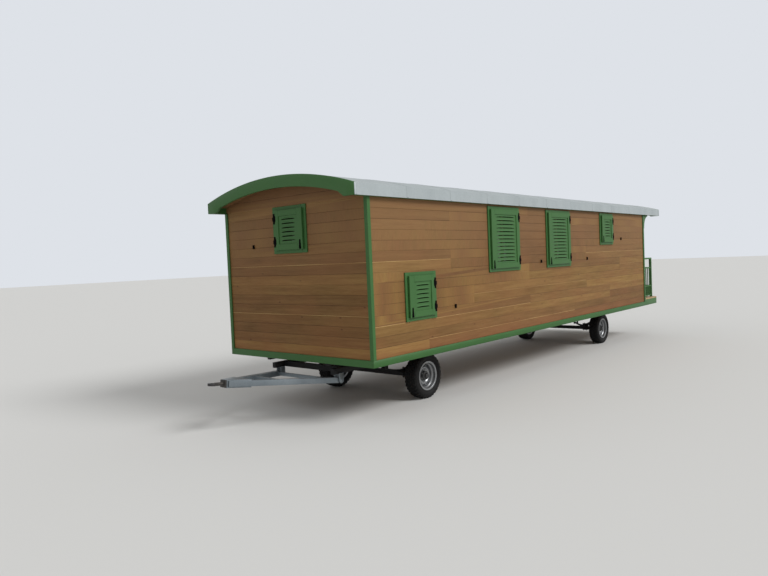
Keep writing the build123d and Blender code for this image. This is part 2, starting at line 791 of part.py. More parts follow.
def porch_brace(side):
    """A curved bracket under the roof's overhang at a rear corner of the cabin."""
    tip_x = CABIN_L + BRACE_L
    tip_z = EAVES_H - BRACE_H
    hollow_l, hollow_h = BRACE_L - BRACE_TIP_W, BRACE_H - BRACE_TIP_W
    middle = (tip_x - hollow_l * sqrt(0.5), tip_z + hollow_h * sqrt(0.5))
    hollow = ThreePointArc((tip_x, EAVES_H - BRACE_TIP_W), middle, (CABIN_L + BRACE_TIP_W, tip_z))
    straights = Polyline((CABIN_L + BRACE_TIP_W, tip_z), (CABIN_L, tip_z), (CABIN_L, EAVES_H),
                         (tip_x, EAVES_H), (tip_x, EAVES_H - BRACE_TIP_W))
    outline = make_face(straights.edges() + hollow.edges())
    y = sided(side, HALF_W - BRACE_T, HALF_W)
    return Pos(0, y[1], 0) * extrude(Plane.XZ * outline, BRACE_T)


def leaf_spring(axle_x, side):
    """A pack of curved leaves, shorter towards the axle, with an eye at each end."""
    leaves = []
    centre_z = MAIN_LEAF_TOP + MAIN_LEAF_R - LEAF_SPRING_T
    for index in range(LEAF_COUNT):
        half = SPRING_HALF * (1 - index / (LEAF_COUNT + 1))
        inner = MAIN_LEAF_R - LEAF_SPRING_T + index * LEAF_SPRING_T
        outer = inner + LEAF_SPRING_T
        below = Pos(0, -outer) * Rectangle(2 * half, outer)
        leaves.append(Pos(0, centre_z) * ((Circle(outer) - Circle(inner)) & below))
    profile = fused(leaves)
    for end in (-1, 1):
        profile += Pos(end * SPRING_HALF, SPRING_EYE_Z) * Circle(EYE_R)
    for end in (-1, 1):
        profile -= Pos(end * SPRING_HALF, SPRING_EYE_Z) * Circle(EYE_BORE_R + SPRING_PIN_FIT)
    y = about(side * RAIL_Y, SPRING_W)
    return Pos(axle_x, y[1], 0) * extrude(Plane.XZ * profile, SPRING_W)


def spring_hangers(axle_x, side):
    """The ears under a rail that hold a spring's eyes, with their pins."""
    pieces = []
    for end in (-1, 1):
        x = axle_x + end * SPRING_HALF
        for ear in (-1, 1):
            near = side * RAIL_Y + ear * (SPRING_W / 2 + EAR_GAP)
            y = tuple(sorted((near, near + ear * HANGER_T)))
            pieces.append(block(about(x, HANGER_W), y, (SPRING_EYE_Z - EYE_R, SUBFRAME_BOTTOM)))
        outer = SPRING_W / 2 + EAR_GAP + HANGER_T + PIN_HEAD
        pieces.append(rod((x, side * RAIL_Y - outer, SPRING_EYE_Z),
                          (x, side * RAIL_Y + outer, SPRING_EYE_Z), EYE_BORE_R))
    return pieces


def rear_subframe():
    """A box under each main rail that brings the rear springs down to their height."""
    half = SPRING_HALF + HANGER_W / 2 + SUBFRAME_PAST
    width = SPRING_W + 2 * (HANGER_T + EAR_GAP)
    for side in (-1, 1):
        box = block(about(REAR_AXLE_X, 2 * half), about(side * RAIL_Y, width),
                    (SUBFRAME_BOTTOM, RAIL_BOTTOM))
        yield fused([box] + spring_hangers(REAR_AXLE_X, side))


def spring_clamp(axle_x, side):
    """A plate under the axle and one over the spring, held together by two U-bolts' legs."""
    y = side * RAIL_Y
    under = AXLE_Z - AXLE_W / 2
    over = MAIN_LEAF_TOP + CLAMP_GAP
    width = SPRING_W + 2 * CLAMP_PAST
    pieces = [block(about(axle_x, CLAMP_L), about(y, width), (under - CLAMP_T, under)),
              block(about(axle_x, CLAMP_L), about(y, width), (over, over + CLAMP_T))]
    leg_x = CLAMP_L / 2 - 2 * U_BOLT_R + EAR_GAP
    leg_y = SPRING_W / 2 + U_BOLT_R + EAR_GAP
    for end in (-1, 1):
        for ear in (-1, 1):
            x, leg = axle_x + end * leg_x, y + ear * leg_y
            pieces.append(rod((x, leg, under - CLAMP_T - U_BOLT_TAIL),
                              (x, leg, over + CLAMP_T + U_BOLT_TAIL), U_BOLT_R))
    return pieces


def axle(axle_x):
    """A square beam with a round stub at each end and a clamp for each spring."""
    pieces = [block(about(axle_x, AXLE_W), (-AXLE_END_Y, AXLE_END_Y), about(AXLE_Z, AXLE_W))]
    for side in (-1, 1):
        end = side * (TRACK / 2 + STUB_END_IN)
        pieces.append(rod((axle_x, side * AXLE_END_Y, AXLE_Z), (axle_x, end, AXLE_Z), STUB_R))
        pieces += spring_clamp(axle_x, side)
    return fused(pieces)


def mirrored(points):
    """A profile's (out from the middle, radius) points and then their mirror images."""
    return points + [(-out, radius) for out, radius in reversed(points)]


def wheel_ring(points):
    """A ring turned about the wheel's own axle from (out from the middle, radius) points."""
    outline = make_face(Polyline(*points, close=True).edges())
    return revolve(Plane.XY * outline, Axis.X)


def rim_barrel():
    """The rim under the tyre: a flange and a bead seat each side of a dropped well."""
    half = RIM_W / 2
    seat_end = BEAD_R - SEAT_DROP
    outside = [(half, RIM_R), (half - FLANGE_W, RIM_R), (half - FLANGE_W, BEAD_R),
               (half - SEAT_IN, seat_end), (half - WELL_IN, WELL_R)]
    inside = [(half - WELL_IN - RIM_BEND, WELL_R - RIM_T), (half - SEAT_IN - RIM_BEND, seat_end - RIM_T),
              (half - RIM_BEND, BEAD_R - RIM_T), (half, RIM_R - RIM_T)]
    left = [(-out, radius) for out, radius in reversed(outside)]
    left += [(-out, radius) for out, radius in reversed(inside)]
    return wheel_ring(outside + left + inside)


def wheel_disc():
    """The dished disc with its ring of hand holes, and the hub with its cap and brake drum."""
    well = WELL_R - RIM_T / 2
    disc = wheel_ring([(-6, well), (4, 155), (26, 128), (28, 112), (10, 88), (10, STUB_R + 8),
                       (2, STUB_R + 8), (2, 88), (18, 114), (-6, 148), (-16, well)])
    for index in range(HAND_HOLES):
        turn = Rot(360 / HAND_HOLES * index, 0, 0)
        disc -= turn * Pos(0, 0, HAND_HOLE_AT) * Rot(0, 90, 0) * Cylinder(HAND_HOLE_R, RIM_W)
    hub = wheel_ring([(52, 66), (56, 40), (84, 38), (88, 30), (88, 0), (STUB_END_IN + 2, 0),
                      (STUB_END_IN + 2, STUB_R + SPRING_PIN_FIT), (-70, STUB_R + SPRING_PIN_FIT),
                      (-70, DRUM_R), (-34, DRUM_R), (-24, 92), (6, 70)])
    return disc + hub


def wheel_rim():
    """A dished steel wheel with its hub and brake drum, its outside towards +x."""
    return rim_barrel() + wheel_disc()


def wheel_tyre():
    """A tyre with a flat tread, bevelled shoulders and bulged walls."""
    half = TYRE_W / 2
    seat = RIM_W / 2 - FLANGE_W - FIT_GAP
    return wheel_ring(mirrored([
        (seat, BEAD_R + FIT_GAP), (seat, RIM_R + FIT_GAP), (half, RIM_R + WALL_RISE),
        (half - SHOULDER_IN, TYRE_R - SHOULDER_DROP), (half - TREAD_IN, TYRE_R)]))


def wheel_place(axle_x, side):
    """Where a wheel stands, its outside turned outwards."""
    return Pos(axle_x, side * TRACK / 2, AXLE_Z) * Rot(0, 0, 90 * side)


def turned_ring(points):
    """A ring turned about the turntable's upright axis from (radius, height) points."""
    outline = make_face(Polyline(*points, close=True).edges())
    return Pos(FRONT_AXLE_X, 0, 0) * revolve(Plane.XZ * outline, Axis.Z)


def turntable_upper():
    """The upper race: a flat ring with a lip that centres the lower one."""
    inner, outer = RING_R - RING_W / 2, RING_R + RING_W / 2
    split = (RAIL_BOTTOM + RING_BOTTOM) / 2
    lip = inner + RING_LIP_W
    foot = RING_BOTTOM + RING_LIP_W / 2
    return turned_ring([(inner, RAIL_BOTTOM), (outer, RAIL_BOTTOM), (outer, split), (lip, split),
                        (lip, foot), (inner, foot)])


def turntable_lower():
    """The lower race: a flat ring with a rim that runs outside the lip."""
    inner, outer = RING_R - RING_W / 2, RING_R + RING_W / 2
    split = (RAIL_BOTTOM + RING_BOTTOM) / 2 - RING_GAP
    lip = inner + RING_LIP_W + RING_LIP_GAP
    foot = RING_BOTTOM + RING_LIP_W / 2 - RING_LIP_GAP
    return turned_ring([(inner, RING_BOTTOM), (outer, RING_BOTTOM), (outer, split), (lip, split),
                        (lip, foot), (inner, foot)])


def drawbar_lugs(side):
    """The pair of ears under a fore rail, with the pin that the drawbar turns on."""
    y = side * RAIL_Y
    near = TUBE_W / 2 + EAR_GAP
    pieces = [block(about(LUG_X, 2 * LUG_R), about(y, 2 * (near + LUG_T)),
                    (SUBFRAME_BOTTOM, SUBFRAME_BOTTOM + LUG_T))]
    for ear in (-1, 1):
        ear_y = tuple(sorted((y + ear * near, y + ear * (near + LUG_T))))
        pieces.append(block(about(LUG_X, 2 * LUG_R), ear_y, (PIVOT_Z, SUBFRAME_BOTTOM)))
        pieces.append(rod((LUG_X, ear_y[0], PIVOT_Z), (LUG_X, ear_y[1], PIVOT_Z), LUG_R))
    reach = near + LUG_T + PIN_HEAD
    pieces.append(rod((LUG_X, y - reach, PIVOT_Z), (LUG_X, y + reach, PIVOT_Z), LUG_PIN_R))
    return pieces


def fore_frame():
    """The frame under the turntable: two rails, cross members, spring ears and drawbar lugs."""
    z = (SUBFRAME_BOTTOM, RING_BOTTOM)
    seat_w = SPRING_W + 2 * (HANGER_T + EAR_GAP)
    pieces = []
    for side in (-1, 1):
        y = side * RAIL_Y
        pieces.append(block((FORE_RAIL_FRONT, FORE_RAIL_REAR), about(y, RAIL_W), z))
        pieces += spring_hangers(FRONT_AXLE_X, side)
        for end in (-1, 1):
            pieces.append(block(about(FRONT_AXLE_X + end * SPRING_HALF, HANGER_W), about(y, seat_w),
                                (SUBFRAME_BOTTOM, SUBFRAME_BOTTOM + HANGER_T)))
        pieces += drawbar_lugs(side)
    for x in (LUG_X + 2 * LUG_R, FRONT_AXLE_X - RING_R, FRONT_AXLE_X + RING_R,
              FORE_RAIL_REAR - CROSS_W / 2):
        pieces.append(block(about(x, CROSS_W), (-RAIL_Y, RAIL_Y), z))
    return fused(pieces)


def drawbar_place(shape):
    """Turn a piece drawn level, with its pivot at the origin, to the drawbar's rest."""
    return Pos(LUG_X, 0, PIVOT_Z) * Rot(0, DRAWBAR_RISE, 0) * shape


def square_bar(start, end, width):
    """A level square bar from one (x, y) point to another, centred on z = 0."""
    length = hypot(end[0] - start[0], end[1] - start[1])
    plane = Plane(origin=(start[0], start[1], 0), z_dir=(end[0] - start[0], end[1] - start[1], 0),
                  x_dir=(0, 0, 1))
    return plane * Box(width, width, length, align=(Align.CENTER, Align.CENTER, Align.MIN))


def drawbar_half_width(distance):
    """Half the width between the tubes' middles at a distance ahead of the pivot."""
    reach = DRAWBAR_L - NOSE_BACK
    return RAIL_Y + (NOSE_HALF - RAIL_Y) * distance / reach


def nose_plate(z):
    """The plate that joins the converging tubes at the nose, above or below them."""
    reach = DRAWBAR_L - NOSE_BACK
    back = NOSE_PLATE_L - reach
    half_back = drawbar_half_width(-back) + TUBE_W / 2
    front, half_front = -reach - NOSE_AHEAD, NOSE_BLOCK[1]
    outline = make_face(Polyline((back, -half_back), (back, half_back), (front, half_front),
                                 (front, -half_front), close=True).edges())
    return extrude(Plane.XY.offset(z) * outline, NOSE_PLATE_T)


def drawbar_frame():
    """The A of two converging tubes with their pivot sleeves, ties and nose plates."""
    reach = DRAWBAR_L - NOSE_BACK
    block_l, block_half = NOSE_BLOCK
    front = -reach - NOSE_AHEAD
    pieces = [nose_plate(-TUBE_W / 2 - NOSE_PLATE_T), nose_plate(TUBE_W / 2),
              block((front, front + block_l), (-block_half, block_half), about(0, TUBE_W))]
    for side in (-1, 1):
        pieces.append(square_bar((-TUBE_START, side * drawbar_half_width(TUBE_START)),
                                 (-reach, side * NOSE_HALF), TUBE_W))
        pieces.append(rod((0, side * RAIL_Y - TUBE_W / 2, 0), (0, side * RAIL_Y + TUBE_W / 2, 0),
                          SLEEVE_R))
    for distance in (TUBE_W + SLEEVE_R, reach * MIDDLE_TIE):
        half = drawbar_half_width(distance)
        pieces.append(square_bar((-distance, -half), (-distance, half), TIE_W))
    shape = fused(pieces)
    clear_x, clear_z = EAR_CLEAR
    for side in (-1, 1):
        shape -= rod((0, side * RAIL_Y - TUBE_W, 0), (0, side * RAIL_Y + TUBE_W, 0),
                     LUG_PIN_R + PIN_FIT)
        for ear in (-1, 1):
            near = side * RAIL_Y + ear * TUBE_W / 2
            slot = tuple(sorted((near, near + ear * TUBE_W)))
            shape -= block((-LUG_R - clear_x, LUG_R), slot, about(0, 2 * (LUG_R + clear_z)))
    return drawbar_place(shape)


def towing_eye():
    """The towing eye with its shank and the flange that bolts to the drawbar's nose."""
    nose = NOSE_BACK - DRAWBAR_L - NOSE_AHEAD
    flange_t, flange_w, flange_h = EYE_FLANGE
    flange = block((nose - flange_t, nose), about(0, flange_w), about(0, flange_h))
    shank_end = (TOW_BORE_R + EYE_OUTER_R) / 2 - DRAWBAR_L
    shank = rod((nose - flange_t / 2, 0, 0), (shank_end, 0, 0), SHANK_R)
    ring = Pos(-DRAWBAR_L, 0, 0) * (Cylinder(EYE_OUTER_R, EYE_T) - Cylinder(TOW_BORE_R, EYE_T))
    return drawbar_place(flange + shank + ring)


def build_cabin():
    """The pieces that stay with the cabin."""
    save("chassis_frame", chassis_frame())
    save("floor_panel", floor_panel())
    save("left_wall", side_wall(-1, "left"))
    save("right_wall", side_wall(1, "right"))
    save("front_wall", front_wall())
    save("rear_wall", rear_wall())
    save("roof_panel", roof_panel())
    save("eaves_boards", *eaves_boards())
    save("roof_sheet", roof_sheet())
    save("front_fascia", fascia((ROOF_X[0], ROOF_X[0] + FASCIA_T)))
    save("rear_fascia", fascia((ROOF_X[1] - FASCIA_T, ROOF_X[1])))
    save("base_trim", *base_trim())
    save("corner_trims", *corner_trims())
    save("window_casings", *[window_casing(window) for window in WINDOWS])
    save("window_sashes", *[window_sash(window) for window in WINDOWS])
    save("window_panes", *[pane for window in WINDOWS for pane in window_panes(window)])
    save("shutter_pintles", *[piece for window in WINDOWS for piece in shutter_pintles(window)])
    save("shutter_holdbacks", *[shutter_holdback(window) for window in WINDOWS])
    save("door_frame", door_frame())
    save("door_hinge_pins", *door_hinge_pins())
    save("porch_deck", porch_deck())
    save("porch_side_railings", side_railing(-1), side_railing(1))
    save("porch_end_railings", end_railing(-1), end_railing(1))
    save("porch_braces", porch_brace(-1), porch_brace(1))


def build_moving_panels():
    """The shutters and the door."""
    for window in WINDOWS:
        save(f"{window.name}_shutter", shutter_leaf(window))
        save(f"{window.name}_shutter_iron", *shutter_iron(window))
    save("door_leaf", door_leaf())
    save("door_pane", door_pane())
    save("door_handles", *door_handles())
    save("door_hinge_knuckles", *door_hinge_knuckles())


def build_running_gear():
    """The axles, springs, wheels, turntable and drawbar."""
    save("rear_subframe", *rear_subframe())
    save("rear_axle", axle(REAR_AXLE_X))
    save("rear_springs", leaf_spring(REAR_AXLE_X, -1), leaf_spring(REAR_AXLE_X, 1))
    save("turntable_upper_ring", turntable_upper())
    save("turntable_lower_ring", turntable_lower())
    save("fore_frame", fore_frame())
    save("front_axle", axle(FRONT_AXLE_X))
    save("front_springs", leaf_spring(FRONT_AXLE_X, -1), leaf_spring(FRONT_AXLE_X, 1))
    save("drawbar_frame", drawbar_frame())
    save("towing_eye", towing_eye())
    rim, tyre = wheel_rim(), wheel_tyre()
    for end, axle_x in (("front", FRONT_AXLE_X), ("rear", REAR_AXLE_X)):
        for hand, side in (("left", -1), ("right", 1)):
            save(f"{end}_{hand}_rim", wheel_place(axle_x, side) * rim)
            save(f"{end}_{hand}_tyre", wheel_place(axle_x, side) * tyre)


os.makedirs("parts", exist_ok=True)
build_cabin()
build_moving_panels()
build_running_gear()
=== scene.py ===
"""Dresses the timber cabin trailer: boarded walls, painted joinery, metalwork, wheels and studio."""

import json
import logging
import random
from abc import ABC, abstractmethod
from collections.abc import Iterable, Mapping, Sequence
from dataclasses import dataclass
from enum import Enum
from math import ceil, cos, pi, radians, sin, sqrt
from typing import Any

import bmesh
import bpy
from mathutils import Matrix, Vector


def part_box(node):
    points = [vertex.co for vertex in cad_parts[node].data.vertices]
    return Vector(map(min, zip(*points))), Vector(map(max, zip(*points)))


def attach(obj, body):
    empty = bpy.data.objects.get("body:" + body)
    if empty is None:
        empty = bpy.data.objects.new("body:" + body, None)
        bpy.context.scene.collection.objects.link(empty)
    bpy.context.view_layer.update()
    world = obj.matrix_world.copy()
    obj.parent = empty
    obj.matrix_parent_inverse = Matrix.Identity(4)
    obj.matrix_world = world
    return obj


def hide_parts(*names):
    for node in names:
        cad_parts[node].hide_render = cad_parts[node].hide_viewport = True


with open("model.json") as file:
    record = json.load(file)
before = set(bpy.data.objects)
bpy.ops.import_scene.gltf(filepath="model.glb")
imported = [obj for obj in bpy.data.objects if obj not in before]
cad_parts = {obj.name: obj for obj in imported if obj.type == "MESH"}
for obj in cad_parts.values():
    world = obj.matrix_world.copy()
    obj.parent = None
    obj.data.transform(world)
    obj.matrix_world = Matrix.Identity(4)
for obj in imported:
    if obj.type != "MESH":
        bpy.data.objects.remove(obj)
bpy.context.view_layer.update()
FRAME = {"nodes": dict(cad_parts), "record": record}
LOG = logging.getLogger("trailer")

Point = tuple[float, float]
Line = tuple[Vector, Vector]
Colour = tuple[float, float, float, float]
Mesh = bpy.types.Mesh
Material = bpy.types.Material
Socket = bpy.types.NodeSocket

SLOT_OF = {part["node"]: part["material_slot"] for part in FRAME["record"]["subparts"]}
BODY_OF = {node: body for body, nodes in FRAME["record"]["behaviour"]["bodies"].items()
           for node in nodes}

UP = Vector((0, 0, 1))
# Corners nearer than the first are one corner, and those nearer than the second share a face.
SAME_PLACE = 1e-5
SAME_FACE = 1e-3
# Edges that turn by more than this many degrees are eased.
SHARP = 40.0


@dataclass(frozen=True)
class Block:
    """An upright box between two corners, in metres."""
    low: Vector
    high: Vector

    @classmethod
    def of(cls, node: str) -> "Block":
        """The box round a CAD node."""
        return cls(*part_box(node))

    @property
    def middle(self) -> Vector:
        """The centre of the box."""
        return (self.low + self.high) / 2

    @property
    def size(self) -> Vector:
        """The length of each side."""
        return self.high - self.low


class Facing(Enum):
    """The walls of the cabin, each by the direction that it faces."""
    LEFT = (0.0, -1.0, 0.0)
    RIGHT = (0.0, 1.0, 0.0)
    FRONT = (-1.0, 0.0, 0.0)
    REAR = (1.0, 0.0, 0.0)

    @property
    def out(self) -> Vector:
        """The direction away from the wall."""
        return Vector(self.value)

    @property
    def along(self) -> Vector:
        """The level direction along the wall: rearwards on a side wall, to the right on an end."""
        return Vector((abs(self.value[1]), abs(self.value[0]), 0.0))

    @property
    def is_side(self) -> bool:
        """Whether it is one of the two long walls."""
        return self in (Facing.LEFT, Facing.RIGHT)

    @property
    def wall(self) -> str:
        """The wall's CAD node."""
        return f"{self.name.lower()}_wall"

    @property
    def skin(self) -> float:
        """How far out the wall's face is."""
        block = Block.of(self.wall)
        return max(self.out.dot(block.low), self.out.dot(block.high))


class Hand(Enum):
    """The two sides of the trailer."""
    LEFT = -1
    RIGHT = 1


class TreeWriter:
    """Adds nodes to a tree and joins them in the order in which they are read."""

    def __init__(self, tree: bpy.types.NodeTree) -> None:
        """Starts on a node tree."""
        self.tree = tree

    def add(self, kind: str, inputs: Mapping[Any, Any] | None = None,
            **settings: Any) -> bpy.types.Node:
        """Adds one node.

        Args:
            kind: Blender's name for the type of node.
            inputs: What each input gets, by name or number: another node's socket or a value.
            settings: The node's own properties.

        Returns:
            The new node.
        """
        node = self.tree.nodes.new(kind)
        for name, value in settings.items():
            setattr(node, name, value)
        for key, value in (inputs or {}).items():
            if isinstance(value, Socket):
                self.tree.links.new(value, node.inputs[key])
            else:
                node.inputs[key].default_value = value
        return node

    def sum(self, operation: str, *terms: Any) -> Socket:
        """Adds a Math node for an operation, such as ADD, on sockets or numbers."""
        node = self.add("ShaderNodeMath", dict(enumerate(terms)), operation=operation)
        return node.outputs[0]


class MeshTree(TreeWriter):
    """A Geometry Nodes tree with named inputs, which grows plain meshes."""

    def __init__(self, name: str, **inputs: tuple[str, Any]) -> None:
        """Makes the tree with its inputs.

        Args:
            name: The tree's name.
            inputs: The kind of socket and the default of each input.
        """
        super().__init__(bpy.data.node_groups.new(name, "GeometryNodeTree"))
        interface = self.tree.interface
        for way in ("INPUT", "OUTPUT"):
            interface.new_socket("Geometry", in_out=way, socket_type="NodeSocketGeometry")
        for label, (kind, default) in inputs.items():
            socket = interface.new_socket(label, in_out="INPUT", socket_type="NodeSocket" + kind)
            socket.default_value = default
        interface.new_socket("Finish", in_out="INPUT", socket_type="NodeSocketMaterial")
        self.given = self.tree.nodes.new("NodeGroupInput").outputs

    def close(self, geometry: Socket) -> None:
        """Ends the tree: instances are made real and get their material.

        Args:
            geometry: The geometry to give out.
        """
        real = self.add("GeometryNodeRealizeInstances", {"Geometry": geometry})
        coated = self.add("GeometryNodeSetMaterial",
                          {"Geometry": real.outputs[0], "Material": self.given["Finish"]})
        self.add("NodeGroupOutput", {"Geometry": coated.outputs[0]})

    def grow(self, source: Mesh, material: Material, **values: Any) -> Mesh:
        """Runs the tree on a mesh.

        Args:
            source: The mesh that the tree starts from, which is used up.
            material: What the result is made of.
            values: The inputs that differ from their defaults.

        Returns:
            The result as a plain mesh.
        """
        carrier = linked(self.tree.name, source)
        modifier = carrier.modifiers.new("Grow", "NODES")
        modifier.node_group = self.tree
        values["Finish"] = material
        for item in self.tree.interface.items_tree:
            if item.in_out == "INPUT" and item.name in values:
                modifier[item.identifier] = values[item.name]
        mesh = evaluated(carrier)
        bpy.data.objects.remove(carrier)
        bpy.data.meshes.remove(source)
        return mesh


def linked(name: str, data: bpy.types.ID) -> bpy.types.Object:
    """A new object in the scene.

    Args:
        name: Its name.
        data: Its mesh, light or camera.

    Returns:
        The object.
    """
    thing = bpy.data.objects.new(name, data)
    bpy.context.scene.collection.objects.link(thing)
    return thing


def evaluated(thing: bpy.types.Object) -> Mesh:
    """The mesh of an object with its modifiers carried out.

    Args:
        thing: The object.

    Returns:
        A new plain mesh.
    """
    graph = bpy.context.evaluated_depsgraph_get()
    return bpy.data.meshes.new_from_object(thing.evaluated_get(graph), preserve_all_data_layers=True,
                                           depsgraph=graph)


class BarTree(MeshTree):
    """Grows a bar with eased edges along every edge of a mesh, each with a tone of its own."""

    def __init__(self) -> None:
        """Builds the tree."""
        super().__init__("bars", Depth=("Float", 0.02), Width=("Float", 0.1),
                         Edge=("Float", 0.002), Steps=("Int", 1), Out=("Vector", (0, 0, 1)),
                         Seed=("Int", 0))
        lines = self.add("GeometryNodeMeshToCurve", {"Mesh": self.given["Geometry"]})
        turned = self.add("GeometryNodeSetCurveNormal",
                          {"Curve": lines.outputs[0], "Normal": self.given["Out"]}, mode="FREE")
        number = self.add("GeometryNodeInputIndex")
        draw = self.add("FunctionNodeRandomValue",
                        {2: 0.0, 3: 1.0, "ID": number.outputs[0], "Seed": self.given["Seed"]},
                        data_type="FLOAT")
        toned = self.add("GeometryNodeStoreNamedAttribute",
                         {"Geometry": turned.outputs[0], "Name": "tone", "Value": draw.outputs[1]},
                         data_type="FLOAT", domain="CURVE")
        outline = self.add("GeometryNodeCurvePrimitiveQuadrilateral",
                           {"Width": self.given["Depth"], "Height": self.given["Width"]})
        eased = self.add("GeometryNodeFilletCurve",
                         {"Curve": outline.outputs[0], "Count": self.given["Steps"],
                          "Radius": self.given["Edge"], "Limit Radius": True}, mode="POLY")
        swept = self.add("GeometryNodeCurveToMesh",
                         {"Curve": toned.outputs[0], "Profile Curve": eased.outputs[0],
                          "Fill Caps": True})
        flat = self.add("GeometryNodeSetShadeSmooth",
                        {"Geometry": swept.outputs[0], "Shade Smooth": False})
        self.close(flat.outputs[0])


class HeadTree(MeshTree):
    """Sets a screw, bolt or rivet head on every point of a mesh, along its "facing"."""

    def __init__(self) -> None:
        """Builds the tree."""
        super().__init__("heads", Radius=("Float", 0.006), Top=("Float", 0.004),
                         Height=("Float", 0.003), Sides=("Int", 10))
        head = self.add("GeometryNodeMeshCone",
                        {"Vertices": self.given["Sides"], "Radius Top": self.given["Top"],
                         "Radius Bottom": self.given["Radius"], "Depth": self.given["Height"]})
        way = self.add("GeometryNodeInputNamedAttribute", {"Name": "facing"},
                       data_type="FLOAT_VECTOR")
        turn = self.add("FunctionNodeAlignRotationToVector", {"Vector": way.outputs[0]}, axis="Z")
        placed = self.add("GeometryNodeInstanceOnPoints",
                          {"Points": self.given["Geometry"], "Instance": head.outputs[0],
                           "Rotation": turn.outputs[0]})
        self.close(placed.outputs[0])


class RingTree(MeshTree):
    """Repeats a mesh round the y axis."""

    def __init__(self) -> None:
        """Builds the tree."""
        super().__init__("ring", Count=("Int", 8), Axis=("Vector", (0, 1, 0)))
        spots = self.add("GeometryNodePoints", {"Count": self.given["Count"]})
        number = self.add("GeometryNodeInputIndex")
        share = self.sum("DIVIDE", number.outputs[0], self.given["Count"])
        turn = self.add("FunctionNodeAxisAngleToRotation",
                        {"Axis": self.given["Axis"], "Angle": self.sum("MULTIPLY", share, 2 * pi)})
        placed = self.add("GeometryNodeInstanceOnPoints",
                          {"Points": spots.outputs[0], "Instance": self.given["Geometry"],
                           "Rotation": turn.outputs[0]})
        self.close(placed.outputs[0])


BARS = BarTree()
HEADS = HeadTree()
RING = RingTree()


@dataclass(frozen=True)
class Section:
    """Cross-section of a bar: how deep it is along its facing, how wide, and its eased edge."""
    depth: float
    width: float
    edge: float = 0.002
    steps: int = 1


def bars(lines: Iterable[Line], section: Section, out: Vector, material: Material,
         seed: int = 0) -> Mesh:
    """Bars of one section along several lines.

    Args:
        lines: The two ends of each bar's middle line.
        section: Their cross-section.
        out: The direction of their depth.
        material: What they are made of.
        seed: Draws their tones.

    Returns:
        One mesh with all bars.
    """
    points = [end for line in lines for end in line]
    mesh = bpy.data.meshes.new("lines")
    mesh.from_pydata(points, [(i, i + 1) for i in range(0, len(points), 2)], [])
    return BARS.grow(mesh, material, Depth=section.depth, Width=section.width, Edge=section.edge,
                     Steps=section.steps, Out=tuple(out), Seed=seed)


def heads(places: Sequence[Line], material: Material, radius: float, height: float,
          sides: int = 10) -> Mesh:
    """Screw or bolt heads, half sunk in what they hold.

    Args:
        places: Where each head is and the way it faces.
        material: What they are made of.
        radius: Their radius at the foot.
        height: Their height.
        sides: Their number of sides: 6 for a hexagon.

    Returns:
        One mesh with all heads.
    """
    mesh = bpy.data.meshes.new("places")
    mesh.from_pydata([place + way * (height * 0.5) for place, way in places], [], [])
    facing = mesh.attributes.new("facing", "FLOAT_VECTOR", "POINT")
    facing.data.foreach_set("vector", [value for _, way in places for value in way])
    taper = 0.9 if sides == 6 else 0.6
    return HEADS.grow(mesh, material, Radius=radius, Top=radius * taper, Height=height,
                      Sides=sides)


def joined(*meshes: Mesh) -> Mesh:
    """One mesh from several, with their materials and attributes.

    Args:
        meshes: The meshes, which are used up.

    Returns:
        The joined mesh.
    """
    parts = [linked("part", mesh) for mesh in meshes]
    with bpy.context.temp_override(active_object=parts[0], object=parts[0],
                                   selected_editable_objects=parts, selected_objects=parts):
        bpy.ops.object.join()
    mesh = parts[0].data
    bpy.data.objects.remove(parts[0])
    return mesh


def cut(mesh: Mesh, cutter: Mesh) -> Mesh:
    """A mesh with another taken away from it.

    Args:
        mesh: The mesh to cut, which is used up.
        cutter: What is taken away, which is used up too.

    Returns:
        What is left.
    """
    body, tool = linked("cut", mesh), linked("tool", cutter)
    modifier = body.modifiers.new("Cut", "BOOLEAN")
    modifier.object = tool
    modifier.solver = "EXACT"
    modifier.use_self = True
    left = evaluated(body)
    bpy.data.objects.remove(body)
    bpy.data.objects.remove(tool)
    return left


def from_bmesh(shape: bmesh.types.BMesh, material: Material, smooth: float | None = None) -> Mesh:
    """A plain mesh from a bmesh, its faces turned outwards.

    Args:
        shape: The bmesh, which is freed.
        material: What it is made of.
        smooth: The angle in degrees below which edges are shaded round, or None for flat faces.

    Returns:
        The mesh.
    """
    bmesh.ops.recalc_face_normals(shape, faces=shape.faces)
    mesh = bpy.data.meshes.new("shape")
    shape.to_mesh(mesh)
    shape.free()
    mesh.materials.append(material)
    if smooth is not None:
        mesh.shade_smooth()
        mesh.set_sharp_from_angle(angle=radians(smooth))
    return mesh


def ease(shape: bmesh.types.BMesh, edge: float, steps: int = 1) -> None:
    """Eases the sharp edges of a bmesh.

    Args:
        shape: The bmesh.
        edge: The width of the eased edges.
        steps: The number of faces across each.
    """
    lines = [line for line in shape.edges if line.calc_face_angle(0) > radians(SHARP)]
    bmesh.ops.bevel(shape, geom=lines, offset=edge, segments=steps, profile=0.5, affect="EDGES",
                    clamp_overlap=True)


def bridge(shape: bmesh.types.BMesh, rows: Sequence[Sequence[bmesh.types.BMVert]]) -> None:
    """Fills the space between closed rows of corners with faces.

    Args:
        shape: The bmesh with the corners.
        rows: The rows, one after the other, all with their corners in the same order.
    """
    for here, there in zip(rows, rows[1:]):
        for index in range(len(here)):
            onward = (index + 1) % len(here)
            shape.faces.new((here[index], here[onward], there[onward], there[index]))


